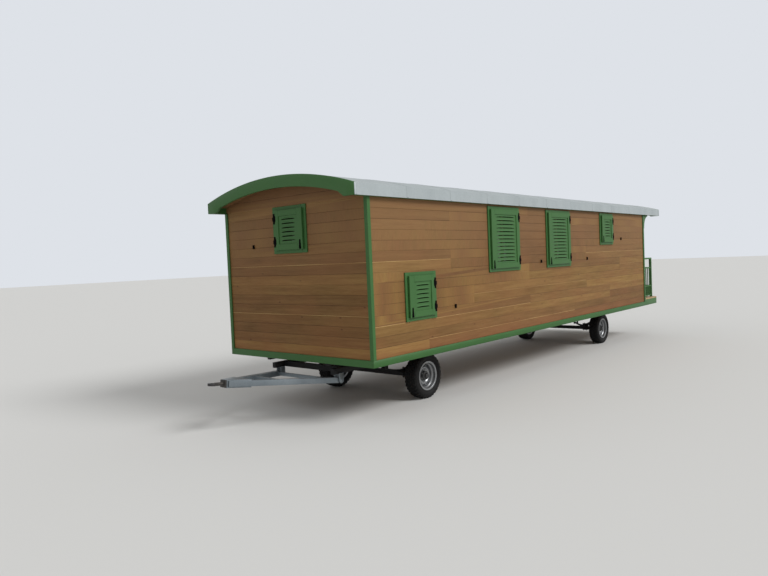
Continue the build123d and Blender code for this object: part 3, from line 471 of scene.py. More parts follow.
def boxes(blocks: Iterable[Line], material: Material, edge: float = 0.0) -> Mesh:
    """Upright boxes with eased edges.

    Args:
        blocks: The lowest and highest corner of each box.
        material: What they are made of.
        edge: The width of their eased edges.

    Returns:
        One mesh with all boxes.
    """
    shape = bmesh.new()
    for low, high in blocks:
        place = Matrix.Translation((low + high) / 2) @ Matrix.Diagonal(high - low).to_4x4()
        bmesh.ops.create_cube(shape, size=1, matrix=place)
    if edge:
        ease(shape, edge)
    return from_bmesh(shape, material)


def ordered(one: Vector, other: Vector) -> Line:
    """The lowest and highest corner of the box between two of its corners."""
    pairs = list(zip(one, other))
    return Vector([min(pair) for pair in pairs]), Vector([max(pair) for pair in pairs])


def plate(outline: Sequence[Vector], through: Vector, material: Material,
          edge: float = 0.0) -> Mesh:
    """A flat plate of any outline.

    Args:
        outline: The corners of one face, in order.
        through: The way and distance to the other face.
        material: What it is made of.
        edge: The width of its eased edges.

    Returns:
        The mesh.
    """
    shape = bmesh.new()
    face = shape.faces.new([shape.verts.new(corner) for corner in outline])
    grown = bmesh.ops.extrude_face_region(shape, geom=[face])["geom"]
    bmesh.ops.translate(shape, vec=through,
                        verts=[part for part in grown if isinstance(part, bmesh.types.BMVert)])
    if edge:
        ease(shape, edge)
    return from_bmesh(shape, material, smooth=35)


def lathe(profile: Sequence[Point], material: Material, segments: int,
          smooth: float = 35.0) -> Mesh:
    """A ring turned about the y axis.

    Args:
        profile: The closed outline as (place along y, radius) points.
        material: What it is made of.
        segments: The number of steps round it.
        smooth: The angle in degrees below which edges are shaded round.

    Returns:
        The mesh.
    """
    shape = bmesh.new()
    rings = []
    for step in range(segments):
        turn = 2 * pi * step / segments
        rings.append([shape.verts.new((radius * cos(turn), along, radius * sin(turn)))
                      for along, radius in profile])
    bridge(shape, rings + rings[:1])
    bmesh.ops.remove_doubles(shape, verts=shape.verts, dist=SAME_PLACE)
    bmesh.ops.dissolve_degenerate(shape, edges=shape.edges, dist=SAME_PLACE / 10)
    return from_bmesh(shape, material, smooth)


def rounded(profile: Sequence[Point], radius: float, steps: int = 3) -> list[Point]:
    """A closed outline with its corners rounded.

    Args:
        profile: The corners in order.
        radius: The reach of the rounding along each side of a corner, at most a third of it.
        steps: The number of stretches in each corner.

    Returns:
        The points of the rounded outline.
    """
    result = []
    for index, corner in enumerate(profile):
        here = Vector(corner)
        before = Vector(profile[index - 1]) - here
        after = Vector(profile[(index + 1) % len(profile)]) - here
        start = here + before * min(radius / before.length, 1 / 3)
        end = here + after * min(radius / after.length, 1 / 3)
        for step in range(steps + 1):
            t = step / steps
            spot = start * (1 - t) ** 2 + here * (2 * t * (1 - t)) + end * t**2
            result.append((spot.x, spot.y))
    return result


def mirrored(profile: Sequence[Point]) -> list[Point]:
    """A closed outline from its outer half, the other half mirrored in the wheel's middle."""
    return [*profile, *[(-along, radius) for along, radius in reversed(profile)]]


def merged(node: str) -> bmesh.types.BMesh:
    """A bmesh of a CAD node's mesh with its doubles merged.

    Args:
        node: The name of the node.

    Returns:
        The bmesh.
    """
    shape = bmesh.new()
    shape.from_mesh(FRAME["nodes"][node].data)
    bmesh.ops.remove_doubles(shape, verts=shape.verts, dist=SAME_PLACE)
    return shape


def eased_copy(node: str, material: Material, edge: float, steps: int = 1) -> Mesh:
    """A copy of a CAD node's mesh with its edges eased.

    Args:
        node: The name of the node.
        material: What it is made of.
        edge: The width of the eased edges.
        steps: The number of faces across each eased edge.

    Returns:
        The mesh.
    """
    shape = merged(node)
    bmesh.ops.dissolve_limit(shape, angle_limit=radians(0.5), verts=shape.verts, edges=shape.edges)
    ease(shape, edge, steps)
    bmesh.ops.triangulate(shape, faces=[face for face in shape.faces if len(face.verts) > 4])
    return from_bmesh(shape, material, smooth=SHARP)


def settle(name: str, mesh: Mesh, *replaced: str, body: str = "", slot: str = "") -> None:
    """Makes a finished mesh a piece of the trailer.

    Args:
        name: The piece's name.
        mesh: Its mesh, in place.
        replaced: The CAD nodes that it stands for; the first gives its body.
        body: The body that it rides on, where it stands for no node.
        slot: Its material slot, where it stands for no node; not used.
    """
    mesh.name = name
    piece = linked(name, mesh)
    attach(piece, body or BODY_OF[replaced[0]])
    if replaced:
        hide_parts(*replaced)
    LOG.info("%s: %d faces", name, len(mesh.polygons))


def dress(material: Material, *nodes: str) -> None:
    """Gives CAD nodes that stay in view their material.

    Args:
        material: The material.
        nodes: The nodes' names.
    """
    for node in nodes:
        for place in FRAME["nodes"][node].material_slots:
            place.material = material
        LOG.info("%s: dressed", node)


def srgb(red: int, green: int, blue: int) -> Colour:
    """A colour given as it looks on a screen, 0 to 255, in Blender's linear values."""
    return (*[((c / 255 + 0.055) / 1.055) ** 2.4 if c > 10 else c / 255 / 12.92
              for c in (red, green, blue)], 1.0)


class ShaderWriter(TreeWriter):
    """Writes the nodes that the finishes are made of."""

    def place(self) -> Socket:
        """The coordinates in the piece's own mesh."""
        return self.add("ShaderNodeTexCoord").outputs["Object"]

    def ramp(self, value: Socket, *stops: tuple[float, Colour]) -> Socket:
        """Adds a colour ramp.

        Args:
            value: What runs along the ramp.
            stops: The place and colour of each stop.

        Returns:
            The socket with the colour.
        """
        node = self.add("ShaderNodeValToRGB", {"Fac": value})
        elements = node.color_ramp.elements
        while len(elements) < len(stops):
            elements.new(0.5)
        for element, (place, colour) in zip(elements, stops):
            element.position = place
            element.color = colour
        return node.outputs["Color"]

    def blend(self, share: Any, base: Any, other: Any, mode: str = "MIX") -> Socket:
        """Mixes two colours.

        Args:
            share: How much of the second is used.
            base: The first colour.
            other: The second colour.
            mode: The way of mixing.

        Returns:
            The socket with the colour.
        """
        node = self.add("ShaderNodeMix", {0: share, 6: base, 7: other}, data_type="RGBA",
                        blend_type=mode, clamp_factor=True)
        return node.outputs[2]

    def span(self, value: Socket, source: Point, target: Point) -> Socket:
        """Maps the ends of one range of values to those of another, and clamps it there."""
        ends = dict(enumerate((value, *source, *target)))
        return self.add("ShaderNodeMapRange", ends).outputs[0]

    def noise(self, place: Socket, scale: float, detail: float, rough: float) -> Socket:
        """Adds a noise texture.

        Args:
            place: Where it is read.
            scale: Its number of blobs in a metre.
            detail: Its number of finer layers.
            rough: The strength of the finer layers.

        Returns:
            The socket with the value.
        """
        node = self.add("ShaderNodeTexNoise", {"Vector": place, "Scale": scale, "Detail": detail,
                                               "Roughness": rough})
        return node.outputs[0]

    def vector(self, operation: str, one: Socket, other: Any) -> Socket:
        """Adds a Vector Math node that moves or stretches coordinates by another value."""
        return self.add("ShaderNodeVectorMath", {0: one, 1: other}, operation=operation).outputs[0]

    def bumped(self, height: Socket, distance: float, strength: float = 0.6) -> Socket:
        """Adds a bump.

        Args:
            height: The height of the surface.
            distance: What a height of 1 stands for, in metres.
            strength: How much of it shows.

        Returns:
            The socket with the normal.
        """
        node = self.add("ShaderNodeBump", {"Height": height, "Distance": distance,
                                           "Strength": strength})
        return node.outputs[0]

    def coat(self, colour: Any, rough: Socket, normal: Socket, **more: Any) -> Socket:
        """Adds the shader of a surface.

        Args:
            colour: Its colour.
            rough: Its roughness.
            normal: Its bumped normal.
            more: Its other inputs, with underscores for the spaces in their names.

        Returns:
            The shader's socket.
        """
        inputs = {"Base Color": colour, "Roughness": rough, "Normal": normal}
        inputs.update({name.replace("_", " "): value for name, value in more.items()})
        return self.add("ShaderNodeBsdfPrincipled", inputs).outputs[0]


class Finish(ABC):
    """A surface finish, made into one material when it is first asked for."""

    label: str
    _made: dict[Any, Material] = {}

    @property
    def material(self) -> Material:
        """The finish's material."""
        if self not in Finish._made:
            made = bpy.data.materials.new(self.label)
            made.use_nodes = True
            made.node_tree.nodes.clear()
            writer = ShaderWriter(made.node_tree)
            writer.add("ShaderNodeOutputMaterial", {"Surface": self.shade(writer)})
            Finish._made[self] = made
        return Finish._made[self]

    @abstractmethod
    def shade(self, tree: ShaderWriter) -> Socket:
        """Writes the shader.

        Args:
            tree: Writes in the material's tree.

        Returns:
            The shader's socket.
        """


class Grain(Enum):
    """The way that the grain of a board runs, as the stretch of its pattern."""
    ALONG_X = (0.5, 9.0, 9.0)
    ALONG_Y = (9.0, 0.5, 9.0)
    ALONG_Z = (9.0, 9.0, 0.5)

    @property
    def knots(self) -> tuple[float, ...]:
        """The stretch of the pattern of its knots."""
        return tuple(1 if stretch < 1 else 2.2 for stretch in self.value)


@dataclass(frozen=True)
class StainedBoard(Finish):
    """Stained softwood: every board a tone of its own, with grain, knots, a reddish splash near the
    foot and painted shade under the eaves.
    """
    label: str
    grain: Grain
    tones: tuple[Colour, ...]
    weathered: float = 0.0
    roughness: float = 0.62
    dark: Colour = srgb(196, 178, 158)
    ruddy: Colour = srgb(138, 90, 54)
    knot: Colour = srgb(70, 40, 22)
    # The colour and heights of the painted shade that darkens the top of the wall as if it lay under
    # the eaves.
    faded: Colour = srgb(130, 98, 66)
    splashed: Colour = srgb(140, 84, 56)
    faded_heights: Point = (1.7, 2.6)
    splashed_heights: Point = (0.86, 1.05)
    board_shift: tuple[float, ...] = (41.0, 17.0, 29.0)

    def shade(self, tree: ShaderWriter) -> Socket:
        """Writes the shader.

        Args:
            tree: Writes in the material's tree.

        Returns:
            The shader's socket.
        """
        place = tree.place()
        tone = tree.add("ShaderNodeAttribute", attribute_name="tone").outputs["Fac"]
        shift = tree.add("ShaderNodeCombineXYZ", {axis: tree.sum("MULTIPLY", tone, reach)
                                                  for axis, reach in enumerate(self.board_shift)})
        moved = tree.vector("ADD", place, shift.outputs[0])
        along = tree.vector("MULTIPLY", moved, self.grain.value)
        figure = tree.noise(along, 2.2, 6, 0.62)
        fine = tree.noise(along, 14.0, 5, 0.7)
        cloud = tree.noise(moved, 1.3, 3, 0.5)
        last = len(self.tones) - 1
        colour = tree.ramp(tone, *[(index / last, stain) for index, stain in enumerate(self.tones)])
        for value, reach, most, stain, mode in ((figure, (0.38, 0.72), 0.75, self.dark, "MULTIPLY"),
                                                (fine, (0.45, 0.7), 0.35, self.dark, "MULTIPLY"),
                                                (cloud, (0.35, 0.65), 0.3, self.ruddy, "MIX")):
            colour = tree.blend(tree.span(value, reach, (0.0, most)), colour, stain, mode)
        knots = tree.add("ShaderNodeTexVoronoi",
                         {"Vector": tree.vector("MULTIPLY", moved, self.grain.knots),
                          "Scale": 3.1, "Randomness": 1.0})
        heart = tree.span(knots.outputs["Distance"], (0.045, 0.085), (1.0, 0.0))
        colour = tree.blend(tree.sum("MULTIPLY", heart, 0.72), colour, self.knot)
        # Painted shade: towards the top of the wall the boards take the colour of the eaves' shadow.
        # Near the foot they take a reddish splash.
        if self.weathered:
            height = tree.add("ShaderNodeSeparateXYZ", {0: place}).outputs[2]
            high = tree.span(height, self.faded_heights, (0.0, self.weathered))
            colour = tree.blend(high, colour, self.faded)
            low = tree.span(height, self.splashed_heights, (self.weathered * 0.6, 0.0))
            colour = tree.blend(low, colour, self.splashed)
        relief = tree.sum("ADD", tree.sum("MULTIPLY", figure, 0.5), fine)
        rough = tree.span(fine, (0.3, 0.7), (self.roughness - 0.08, self.roughness + 0.1))
        return tree.coat(colour, rough, tree.bumped(relief, 0.0012), Specular_IOR_Level=0.25)


@dataclass(frozen=True)
class Paint(Finish):
    """Brushed or sprayed paint with slight unevenness, dust and fading."""
    label: str
    colour: Colour
    worn: Colour
    roughness: float = 0.42
    brushed: float = 0.0008
    blotch: float = 0.35
    metallic: float = 0.0
    specular: float = 0.3
    stroke: tuple[float, float, float] = (3.0, 3.0, 20.0)

    def shade(self, tree: ShaderWriter) -> Socket:
        """Writes the shader.

        Args:
            tree: Writes in the material's tree.

        Returns:
            The shader's socket.
        """
        place = tree.place()
        cloud = tree.noise(place, 2.4, 5, 0.6)
        speck = tree.noise(place, 38.0, 3, 0.6)
        strokes = tree.noise(tree.vector("MULTIPLY", place, self.stroke), 12.0, 3, 0.6)
        colour = tree.blend(tree.span(cloud, (0.35, 0.7), (0.0, self.blotch)), self.colour,
                            self.worn)
        colour = tree.blend(tree.span(speck, (0.6, 0.75), (0.0, 0.25)), colour, self.worn)
        rough = tree.span(cloud, (0.3, 0.7), (self.roughness - 0.06, self.roughness + 0.12))
        relief = tree.sum("ADD", strokes, tree.sum("MULTIPLY", speck, 0.4))
        return tree.coat(colour, rough, tree.bumped(relief, self.brushed), Metallic=self.metallic,
                         Specular_IOR_Level=self.specular)


@dataclass(frozen=True)
class Zinc(Finish):
    """Galvanised steel, with its flowers of zinc and dull streaks."""
    label: str
    pale: Colour
    dull: Colour
    flower: float = 60.0
    roughness: float = 0.42
    metallic: float = 0.55
    streak: tuple[float, float, float] = (2.0, 2.0, 0.5)

    def shade(self, tree: ShaderWriter) -> Socket:
        """Writes the shader.

        Args:
            tree: Writes in the material's tree.

        Returns:
            The shader's socket.
        """
        place = tree.place()
        flowers = tree.add("ShaderNodeTexVoronoi", {"Vector": place, "Scale": self.flower})
        cell = tree.add("ShaderNodeSeparateColor", {0: flowers.outputs["Color"]}).outputs[0]
        streak = tree.noise(tree.vector("MULTIPLY", place, self.streak), 1.6, 5, 0.6)
        share = tree.sum("ADD", tree.span(streak, (0.3, 0.72), (0.0, 0.8)),
                         tree.sum("MULTIPLY", cell, 0.25))
        rough = tree.span(tree.sum("ADD", tree.sum("MULTIPLY", cell, 0.5), streak), (0.3, 1.2),
                          (self.roughness - 0.1, self.roughness + 0.14))
        return tree.coat(tree.blend(share, self.pale, self.dull), rough,
                         tree.bumped(streak, 0.002, 0.4), Metallic=self.metallic)


@dataclass(frozen=True)
class Rubber(Finish):
    """Black tyre rubber with dried dust in its hollows."""
    label: str
    colour: Colour
    dust: Colour

    def shade(self, tree: ShaderWriter) -> Socket:
        """Writes the shader.

        Args:
            tree: Writes in the material's tree.

        Returns:
            The shader's socket.
        """
        place = tree.place()
        cloud = tree.noise(place, 9.0, 5, 0.65)
        grit = tree.noise(place, 160.0, 2, 0.5)
        colour = tree.blend(tree.span(cloud, (0.45, 0.75), (0.0, 0.55)), self.colour, self.dust)
        rough = tree.span(cloud, (0.3, 0.7), (0.6, 0.88))
        return tree.coat(colour, rough, tree.bumped(grit, 0.0006), Specular_IOR_Level=0.3)


@dataclass(frozen=True)
class Glass(Finish):
    """Window glass, a little uneven."""
    label: str
    tint: Colour

    def shade(self, tree: ShaderWriter) -> Socket:
        """Writes the shader.

        Args:
            tree: Writes in the material's tree.

        Returns:
            The shader's socket.
        """
        place = tree.place()
        wave = tree.noise(place, 2.0, 1, 0.4)
        smear = tree.span(tree.noise(place, 6.0, 4, 0.6), (0.4, 0.8), (0.01, 0.07))
        return tree.coat(self.tint, smear, tree.bumped(wave, 0.001, 0.3), IOR=1.45,
                         Transmission_Weight=1.0)


CLADDING_TONES = (srgb(112, 80, 45), srgb(136, 106, 57), srgb(125, 91, 53), srgb(148, 117, 64),
                  srgb(119, 87, 49))
# The tongues show in the gaps between boards. Their tones are painted shade, darker than any board
# so that the joints read as shadowed grooves, and one pale tone is a painted highlight along the
# board edges.
TONGUE_SHADE_AND_HIGHLIGHT_TONES = (srgb(86, 62, 38), srgb(104, 78, 46), srgb(136, 106, 64), srgb(206, 176, 118))
SIDE_BOARDS = StainedBoard("stained_boards_x", Grain.ALONG_X, CLADDING_TONES, 0.5)
END_BOARDS = StainedBoard("stained_boards_y", Grain.ALONG_Y, CLADDING_TONES, 0.5)
SIDE_TONGUE_SHADE = StainedBoard("tongues_x", Grain.ALONG_X, TONGUE_SHADE_AND_HIGHLIGHT_TONES)
END_TONGUE_SHADE = StainedBoard("tongues_y", Grain.ALONG_Y, TONGUE_SHADE_AND_HIGHLIGHT_TONES)
INNER_X = StainedBoard("oiled_boards_x", Grain.ALONG_X, (srgb(176, 144, 100), srgb(194, 162, 118)))
SASH_WOOD = StainedBoard("oiled_sashes", Grain.ALONG_Z, (srgb(96, 70, 44), srgb(108, 80, 50)))
SOFFIT = StainedBoard("soffit_boards", Grain.ALONG_X, (srgb(128, 96, 62), srgb(144, 110, 72)))
DECK = StainedBoard("deck_boards", Grain.ALONG_Y, (srgb(178, 156, 120), srgb(192, 172, 136)))
GREEN = Paint("green_joinery", srgb(55, 98, 49), srgb(70, 111, 62), 0.45, blotch=0.3)
IRON = Paint("black_ironwork", srgb(8, 8, 9), srgb(16, 15, 15), 0.78, 0.0003, specular=0.05)
CHASSIS = Paint("chassis_coat", srgb(26, 27, 29), srgb(52, 49, 45), 0.6, 0.0006, specular=0.25)
FORGED = Paint("forged_eye", srgb(62, 62, 64), srgb(92, 86, 78), 0.5, 0.001, 0.6, 0.6)
SILVER = Paint("rim_silver", srgb(150, 152, 154), srgb(116, 116, 116), 0.3, 0.0003, 0.4, 0.7)
HUB_GREY = Paint("hub_grey", srgb(70, 71, 72), srgb(92, 90, 86), 0.5, 0.0004, 0.4, 0.3)
ROOF_ZINC = Zinc("roof_zinc", srgb(174, 182, 184), srgb(160, 168, 170), roughness=0.62,
                 metallic=0.3)
TUBE_ZINC = Zinc("drawbar_zinc", srgb(134, 143, 149), srgb(108, 117, 123), 90.0, 0.4)
SCREW_ZINC = Zinc("screw_zinc", srgb(150, 152, 150), srgb(112, 114, 112), 400.0, 0.35, 0.8)
RUBBER = Rubber("tyre_rubber", srgb(11, 11, 12), srgb(28, 26, 24))
PANE = Glass("window_glass", (0.36, 0.40, 0.39, 1.0))


class Assembly(ABC):
    """A sub-assembly of the trailer."""

    @abstractmethod
    def build(self) -> None:
        """Builds and dresses its pieces."""


@dataclass
class Cladding(Assembly):
    """The four boarded walls: a core with window holes behind rows of stained boards."""
    rows: int = 15
    board_depth: float = 0.018
    gap: float = 0.004
    butt: float = 0.0008
    edge: float = 0.003
    tongue_back: float = 0.0025
    tongue_depth: float = 0.008
    tongue_past: float = 0.002
    tongue_edge: float = 0.0005
    longest: float = 4.2
    stud_pitch: float = 0.6
    ceiling: float = 0.0833
    core_short: float = 0.0005
    past: float = 1.0
    lid_past: float = 0.12
    lid_steps: int = 32
    door_casing: float = 0.07
    seed: int = 7
    # The studs on which the boards of a row end, counted from its start.
    joints: tuple[tuple[int, int], ...] = ((2, 9), (6, 13), (4, 10), (7, 14), (3, 11), (5, 12))

    def __post_init__(self) -> None:
        """Reads the height of the rows from the frame."""
        corners = Block.of("corner_trims")
        self.low = corners.low.z
        self.pitch = (corners.high.z - self.low) / self.rows

    def build(self) -> None:
        """Builds the walls."""
        for facing in Facing:
            self.wall(facing)

    def wall(self, facing: Facing) -> None:
        """Builds one wall and its boards.

        Args:
            facing: The way it faces.
        """
        block, skin = Block.of(facing.wall), facing.skin
        start, end = facing.along.dot(block.low), facing.along.dot(block.high)
        if not facing.is_side:
            end = Block.of("right_wall").high.y
            start = -end
        boards, tongues = [], []
        draw = random.Random(self.seed + list(Facing).index(facing))
        face = facing.out * (skin - self.board_depth / 2)
        behind = facing.out * (skin - self.tongue_back - self.tongue_depth / 2)
        for row in range(ceil((block.high.z - self.low) / self.pitch)):
            low = UP * (self.low + row * self.pitch)
            middle = low + UP * (self.pitch / 2)
            for near, far in self.lengths(start, end, row, draw):
                reach = facing.along * near, facing.along * far
                boards.append(tuple(face + middle + place for place in reach))
                tongues.append(tuple(behind + low + place for place in reach))
        # The tongue finishes carry painted groove shade and a painted edge highlight.
        finishes = (SIDE_BOARDS, SIDE_TONGUE_SHADE) if facing.is_side else (END_BOARDS, END_TONGUE_SHADE)
        sections = (Section(self.board_depth, self.pitch - self.gap, self.edge),
                    Section(self.tongue_depth, self.gap + self.tongue_past, self.tongue_edge))
        meshes = [cut(bars(lines, section, facing.out, finish.material, self.seed),
                      self.cutter(facing, block))
                  for lines, section, finish in zip((boards, tongues), sections, finishes)]
        settle(f"{facing.wall}_boards", joined(*meshes, self.core(facing, skin)), facing.wall)

    def lengths(self, start: float, end: float, row: int, draw: random.Random) -> list[Point]:
        """Cuts one row into boards that end on studs.

        Args:
            start: The start of the row.
            end: Its end.
            row: Its number from below.
            draw: Draws the studs.

        Returns:
            The start and end of each board.
        """
        if end - start < self.longest:
            return [(start, end)]
        last = int((end - start) / self.stud_pitch) - 1
        places = [start]
        for stud in self.joints[row // 2 % len(self.joints)]:
            places.append(start + min(stud + draw.choice((0, 0, 1)), last) * self.stud_pitch)
        places.append(end)
        return [(near + self.butt, far - self.butt) for near, far in zip(places, places[1:])]

    def cutter(self, facing: Facing, block: Block) -> Mesh:
        """What is cut away from the boards of a wall: its windows or door, and what is above it.

        Args:
            facing: The way it faces.
            block: The wall's box.

        Returns:
            The cutter's mesh.
        """
        holes = [ordered(window.at(-window.light, window.casing, -self.past),
                         window.at(window.light, window.height - window.casing, self.past))
                 for window in WINDOWS if window.facing is facing]
        if facing is Facing.REAR:
            frame = Block.of("door_frame")
            inset = Vector((-self.past, self.door_casing, 0))
            holes.append((frame.low + inset, frame.high - inset - UP * self.door_casing))
        if facing.is_side:
            reach = Vector((self.past, self.past, 0))
            top = Vector((block.low.x, block.low.y, block.high.z)) - reach
            above = block.high + reach + UP * self.past
            return boxes([*holes, (top, above)], CHASSIS.material)
        return joined(boxes(holes, CHASSIS.material), self.arch_lid(block))

    def arch_lid(self, block: Block) -> Mesh:
        """A block whose underside is the round that the top of an end wall is cut to.

        Args:
            block: The wall's box.

        Returns:
            The mesh.
        """
        radius = Roof.radius() - self.ceiling
        half = block.size.y / 2 + self.lid_past
        x, top = block.low.x - self.past / 2, block.high.z
        points = []
        for step in range(self.lid_steps + 1):
            y = -half + 2 * half * step / self.lid_steps
            points.append(Vector((x, y, top - radius + sqrt(radius**2 - y**2))))
        above = [Vector((x, side * half, top + self.past / 2)) for side in (1, -1)]
        through = Vector((block.size.x + self.past, 0, 0))
        return plate(points + above, through, CHASSIS.material)

    def core(self, facing: Facing, skin: float) -> Mesh:
        """The rest of a wall behind its boards.

        Args:
            facing: The way it faces.
            skin: How far out its outer face is.

        Returns:
            The mesh.
        """
        shape = merged(facing.wall)
        side = Block.of("left_wall")
        for corner in shape.verts:
            if facing.out.dot(corner.co) > skin - SAME_FACE:
                corner.co -= facing.out * self.board_depth
            for end, way in ((side.low.x, 1), (side.high.x, -1)):
                if facing.is_side and abs(corner.co.x - end) < SAME_FACE:
                    corner.co.x += way * (self.board_depth + self.core_short)
        return from_bmesh(shape, INNER_X.material)


class Slots(Enum):
    """The number of slots in a shutter."""
    SHORT = 6
    TALL = 13


@dataclass(frozen=True)
class Window:
    """A window with its casing, sash and louvred shutter, placed by the shutter's CAD leaf."""
    name: str
    facing: Facing
    slots: Slots
    casing: float = 0.09
    casing_depth: float = 0.02
    reveal: float = 0.05

    @property
    def leaf(self) -> Block:
        """The box of the CAD leaf."""
        return Block.of(f"{self.name}_shutter")

    @property
    def width(self) -> float:
        """Outer width of the casing."""
        return self.facing.along.dot(self.leaf.size) + 2 * self.reveal

    @property
    def height(self) -> float:
        """Outer height of the casing."""
        return self.leaf.size.z + 2 * self.reveal

    @property
    def light(self) -> float:
        """Half the width inside the casing."""
        return self.width / 2 - self.casing

    def at(self, across: float, up: float, out: float) -> Vector:
        """A point in the window's own measures.

        Args:
            across: Distance from its middle, towards its hinges.
            up: Height above the casing's foot.
            out: Distance out from the boards.

        Returns:
            The point in the frame.
        """
        middle = self.facing.along.dot(self.leaf.middle)
        return (self.facing.along * (middle + across) + self.facing.out * (self.facing.skin + out)
                + UP * (self.leaf.low.z - self.reveal + up))

    def frame(self, half: float, low: float, high: float, wide: float,
              out: float) -> tuple[list[Line], list[Line]]:
        """The middle lines of an upright frame's four boards.

        Args:
            half: Half the frame's outer width.
            low: The height of its foot.
            high: The height of its top.
            wide: The width of its boards.
            out: How far out they lie.

        Returns:
            The lines of its uprights, and of its levels between them.
        """
        uprights = [(self.at(side * (half - wide / 2), low, out),
                     self.at(side * (half - wide / 2), high, out)) for side in (-1, 1)]
        levels = [(self.at(wide - half, up, out), self.at(half - wide, up, out))
                  for up in (low + wide / 2, high - wide / 2)]
        return uprights, levels


WINDOWS = (
    Window("left_low", Facing.LEFT, Slots.SHORT), Window("left_fore", Facing.LEFT, Slots.TALL),
    Window("left_mid", Facing.LEFT, Slots.TALL), Window("left_high", Facing.LEFT, Slots.SHORT),
    Window("right_fore", Facing.RIGHT, Slots.TALL), Window("right_mid", Facing.RIGHT, Slots.TALL),
    Window("front", Facing.FRONT, Slots.SHORT),
)


@dataclass
class Roof(Assembly):
    """The sheet-metal covering with its laps and hems, the boarded underside and the fascias."""
    sheet: float = 0.003
    lap_pitch: float = 1.0
    lap_rise: float = 0.0025
    lap_width: float = 0.03
    lap_edge: float = 0.001
    hem: float = 0.006
    hem_edge: float = 0.0028
    steps: int = 48
    fascia_edge: float = 0.004
    soffit_board: float = 0.115
    soffit_gap: float = 0.004
    soffit_depth: float = 0.008
    soffit_half: float = 1.42
    soffit_sunk: float = 0.001

    @staticmethod
    def radius() -> float:
        """The radius of the roof's outer round, which ends on its upright skirts.

        Returns:
            The radius.
        """
        corners = [v.co for v in FRAME["nodes"]["roof_sheet"].data.vertices]
        half, top = max(abs(c.y) for c in corners), Block.of("roof_sheet").high.z
        rise = top - max(c.z for c in corners if abs(c.y) > half - SAME_PLACE)
        return (half**2 + rise**2) / (2 * rise)

    def build(self) -> None:
        """Builds the roof."""
        self.cover()
        self.underside()
        dress(GREEN.material, "eaves_boards")
        for node in ("front_fascia", "rear_fascia"):
            board = eased_copy(node, GREEN.material, self.fascia_edge)
            board.materials.append(ROOF_ZINC.material)
            side = Block.of(node).high.y - self.lap_rise
            for face in board.polygons:
                if abs(face.center.y) > side:
                    face.material_index = 1
            settle(f"{node}_board", board, node)

    def section(self, rise: float) -> list[Point]:
        """The sheet's outline across the trailer, from one hem to the other.

        Args:
            rise: How far it lies under the outermost round.

        Returns:
            The (y, z) points of the outside.
        """
        cover = Block.of("roof_sheet")
        half, foot = cover.high.y - rise, cover.low.z
        radius = self.radius() - rise
        centre = cover.high.z - self.radius()
        angle = half / radius
        points = []
        for step in range(self.steps + 1):
            y = half * sin((2 * step / self.steps - 1) * angle) / sin(angle)
            points.append((y, centre + sqrt(radius**2 - y**2)))
        skirt = [(-half, foot), (-half, foot + self.hem)]
        return skirt + points + [(-y, z) for y, z in reversed(skirt)]

    def cover(self) -> None:
        """Builds the metal sheets, each lapping the next, with their folded hems."""
        cover = Block.of("roof_sheet")
        count = round(cover.size.x / self.lap_pitch)
        stations: list[Point] = [(cover.low.x, self.lap_rise)]
        for index in range(1, count):
            lap = cover.low.x + index * cover.size.x / count
            under = lap - self.lap_width
            stations += [(under, self.lap_rise), (under + self.lap_edge, 0.0), (lap, 0.0),
                         (lap + self.lap_edge, self.lap_rise)]
        stations.append((cover.high.x, self.lap_rise))
        shape = bmesh.new()
        thick = self.sheet - self.lap_rise / 2
        rings = []
        for x, rise in stations:
            outer = self.section(rise)
            inner = [(y * (1 - thick / cover.high.y), z - thick) for y, z in outer]
            inner[0], inner[-1] = (inner[0][0], outer[0][1]), (inner[-1][0], outer[-1][1])
            rings.append([shape.verts.new((x, y, z)) for y, z in outer + inner[::-1]])
        bridge(shape, rings)
        for ring in (rings[0], rings[-1]):
            for index in range(len(ring) // 2 - 1):
                shape.faces.new((ring[index], ring[index + 1], ring[-2 - index], ring[-1 - index]))
        hems = []
        for side in (-1, 1):
            y, z = side * (cover.high.y - self.hem / 2), cover.low.z + self.hem
            hems.append((Vector((cover.low.x, y, z)), Vector((cover.high.x, y, z))))
        hem = bars(hems, Section(self.hem, 2 * self.hem, self.hem_edge, 4), Vector((0, 1, 0)),
                   ROOF_ZINC.material)
        sheets = from_bmesh(shape, ROOF_ZINC.material, smooth=30)
        settle("roof_sheeting", joined(sheets, hem), "roof_sheet")

    def underside(self) -> None:
        """Builds the roof panel and the boards under its two overhangs."""
        panel, front, rear = (Block.of(node) for node in ("roof_panel", "front_wall", "rear_wall"))
        axis = Block.of("roof_sheet").high.z - self.radius()
        radius = min(Vector((v.co.y, v.co.z - axis)).length
                     for v in FRAME["nodes"]["roof_panel"].data.vertices)
        count = int(2 * self.soffit_half / self.soffit_board)
        section = Section(self.soffit_depth, self.soffit_board - self.soffit_gap)
        meshes = [eased_copy("roof_panel", SOFFIT.material, section.edge)]
        for index in range(count):
            angle = (index + 0.5 - count / 2) * self.soffit_board / radius
            out = Vector((0, -sin(angle), -cos(angle)))
            spot = UP * axis - out * (radius - self.soffit_depth / 2 + self.soffit_sunk)
            lines = [(spot + Vector((near, 0, 0)), spot + Vector((far, 0, 0)))
                     for near, far in ((panel.low.x, front.low.x), (rear.high.x, panel.high.x))]
            meshes.append(bars(lines, section, out, SOFFIT.material, index))
        settle("roof_boards", joined(*meshes), "roof_panel")


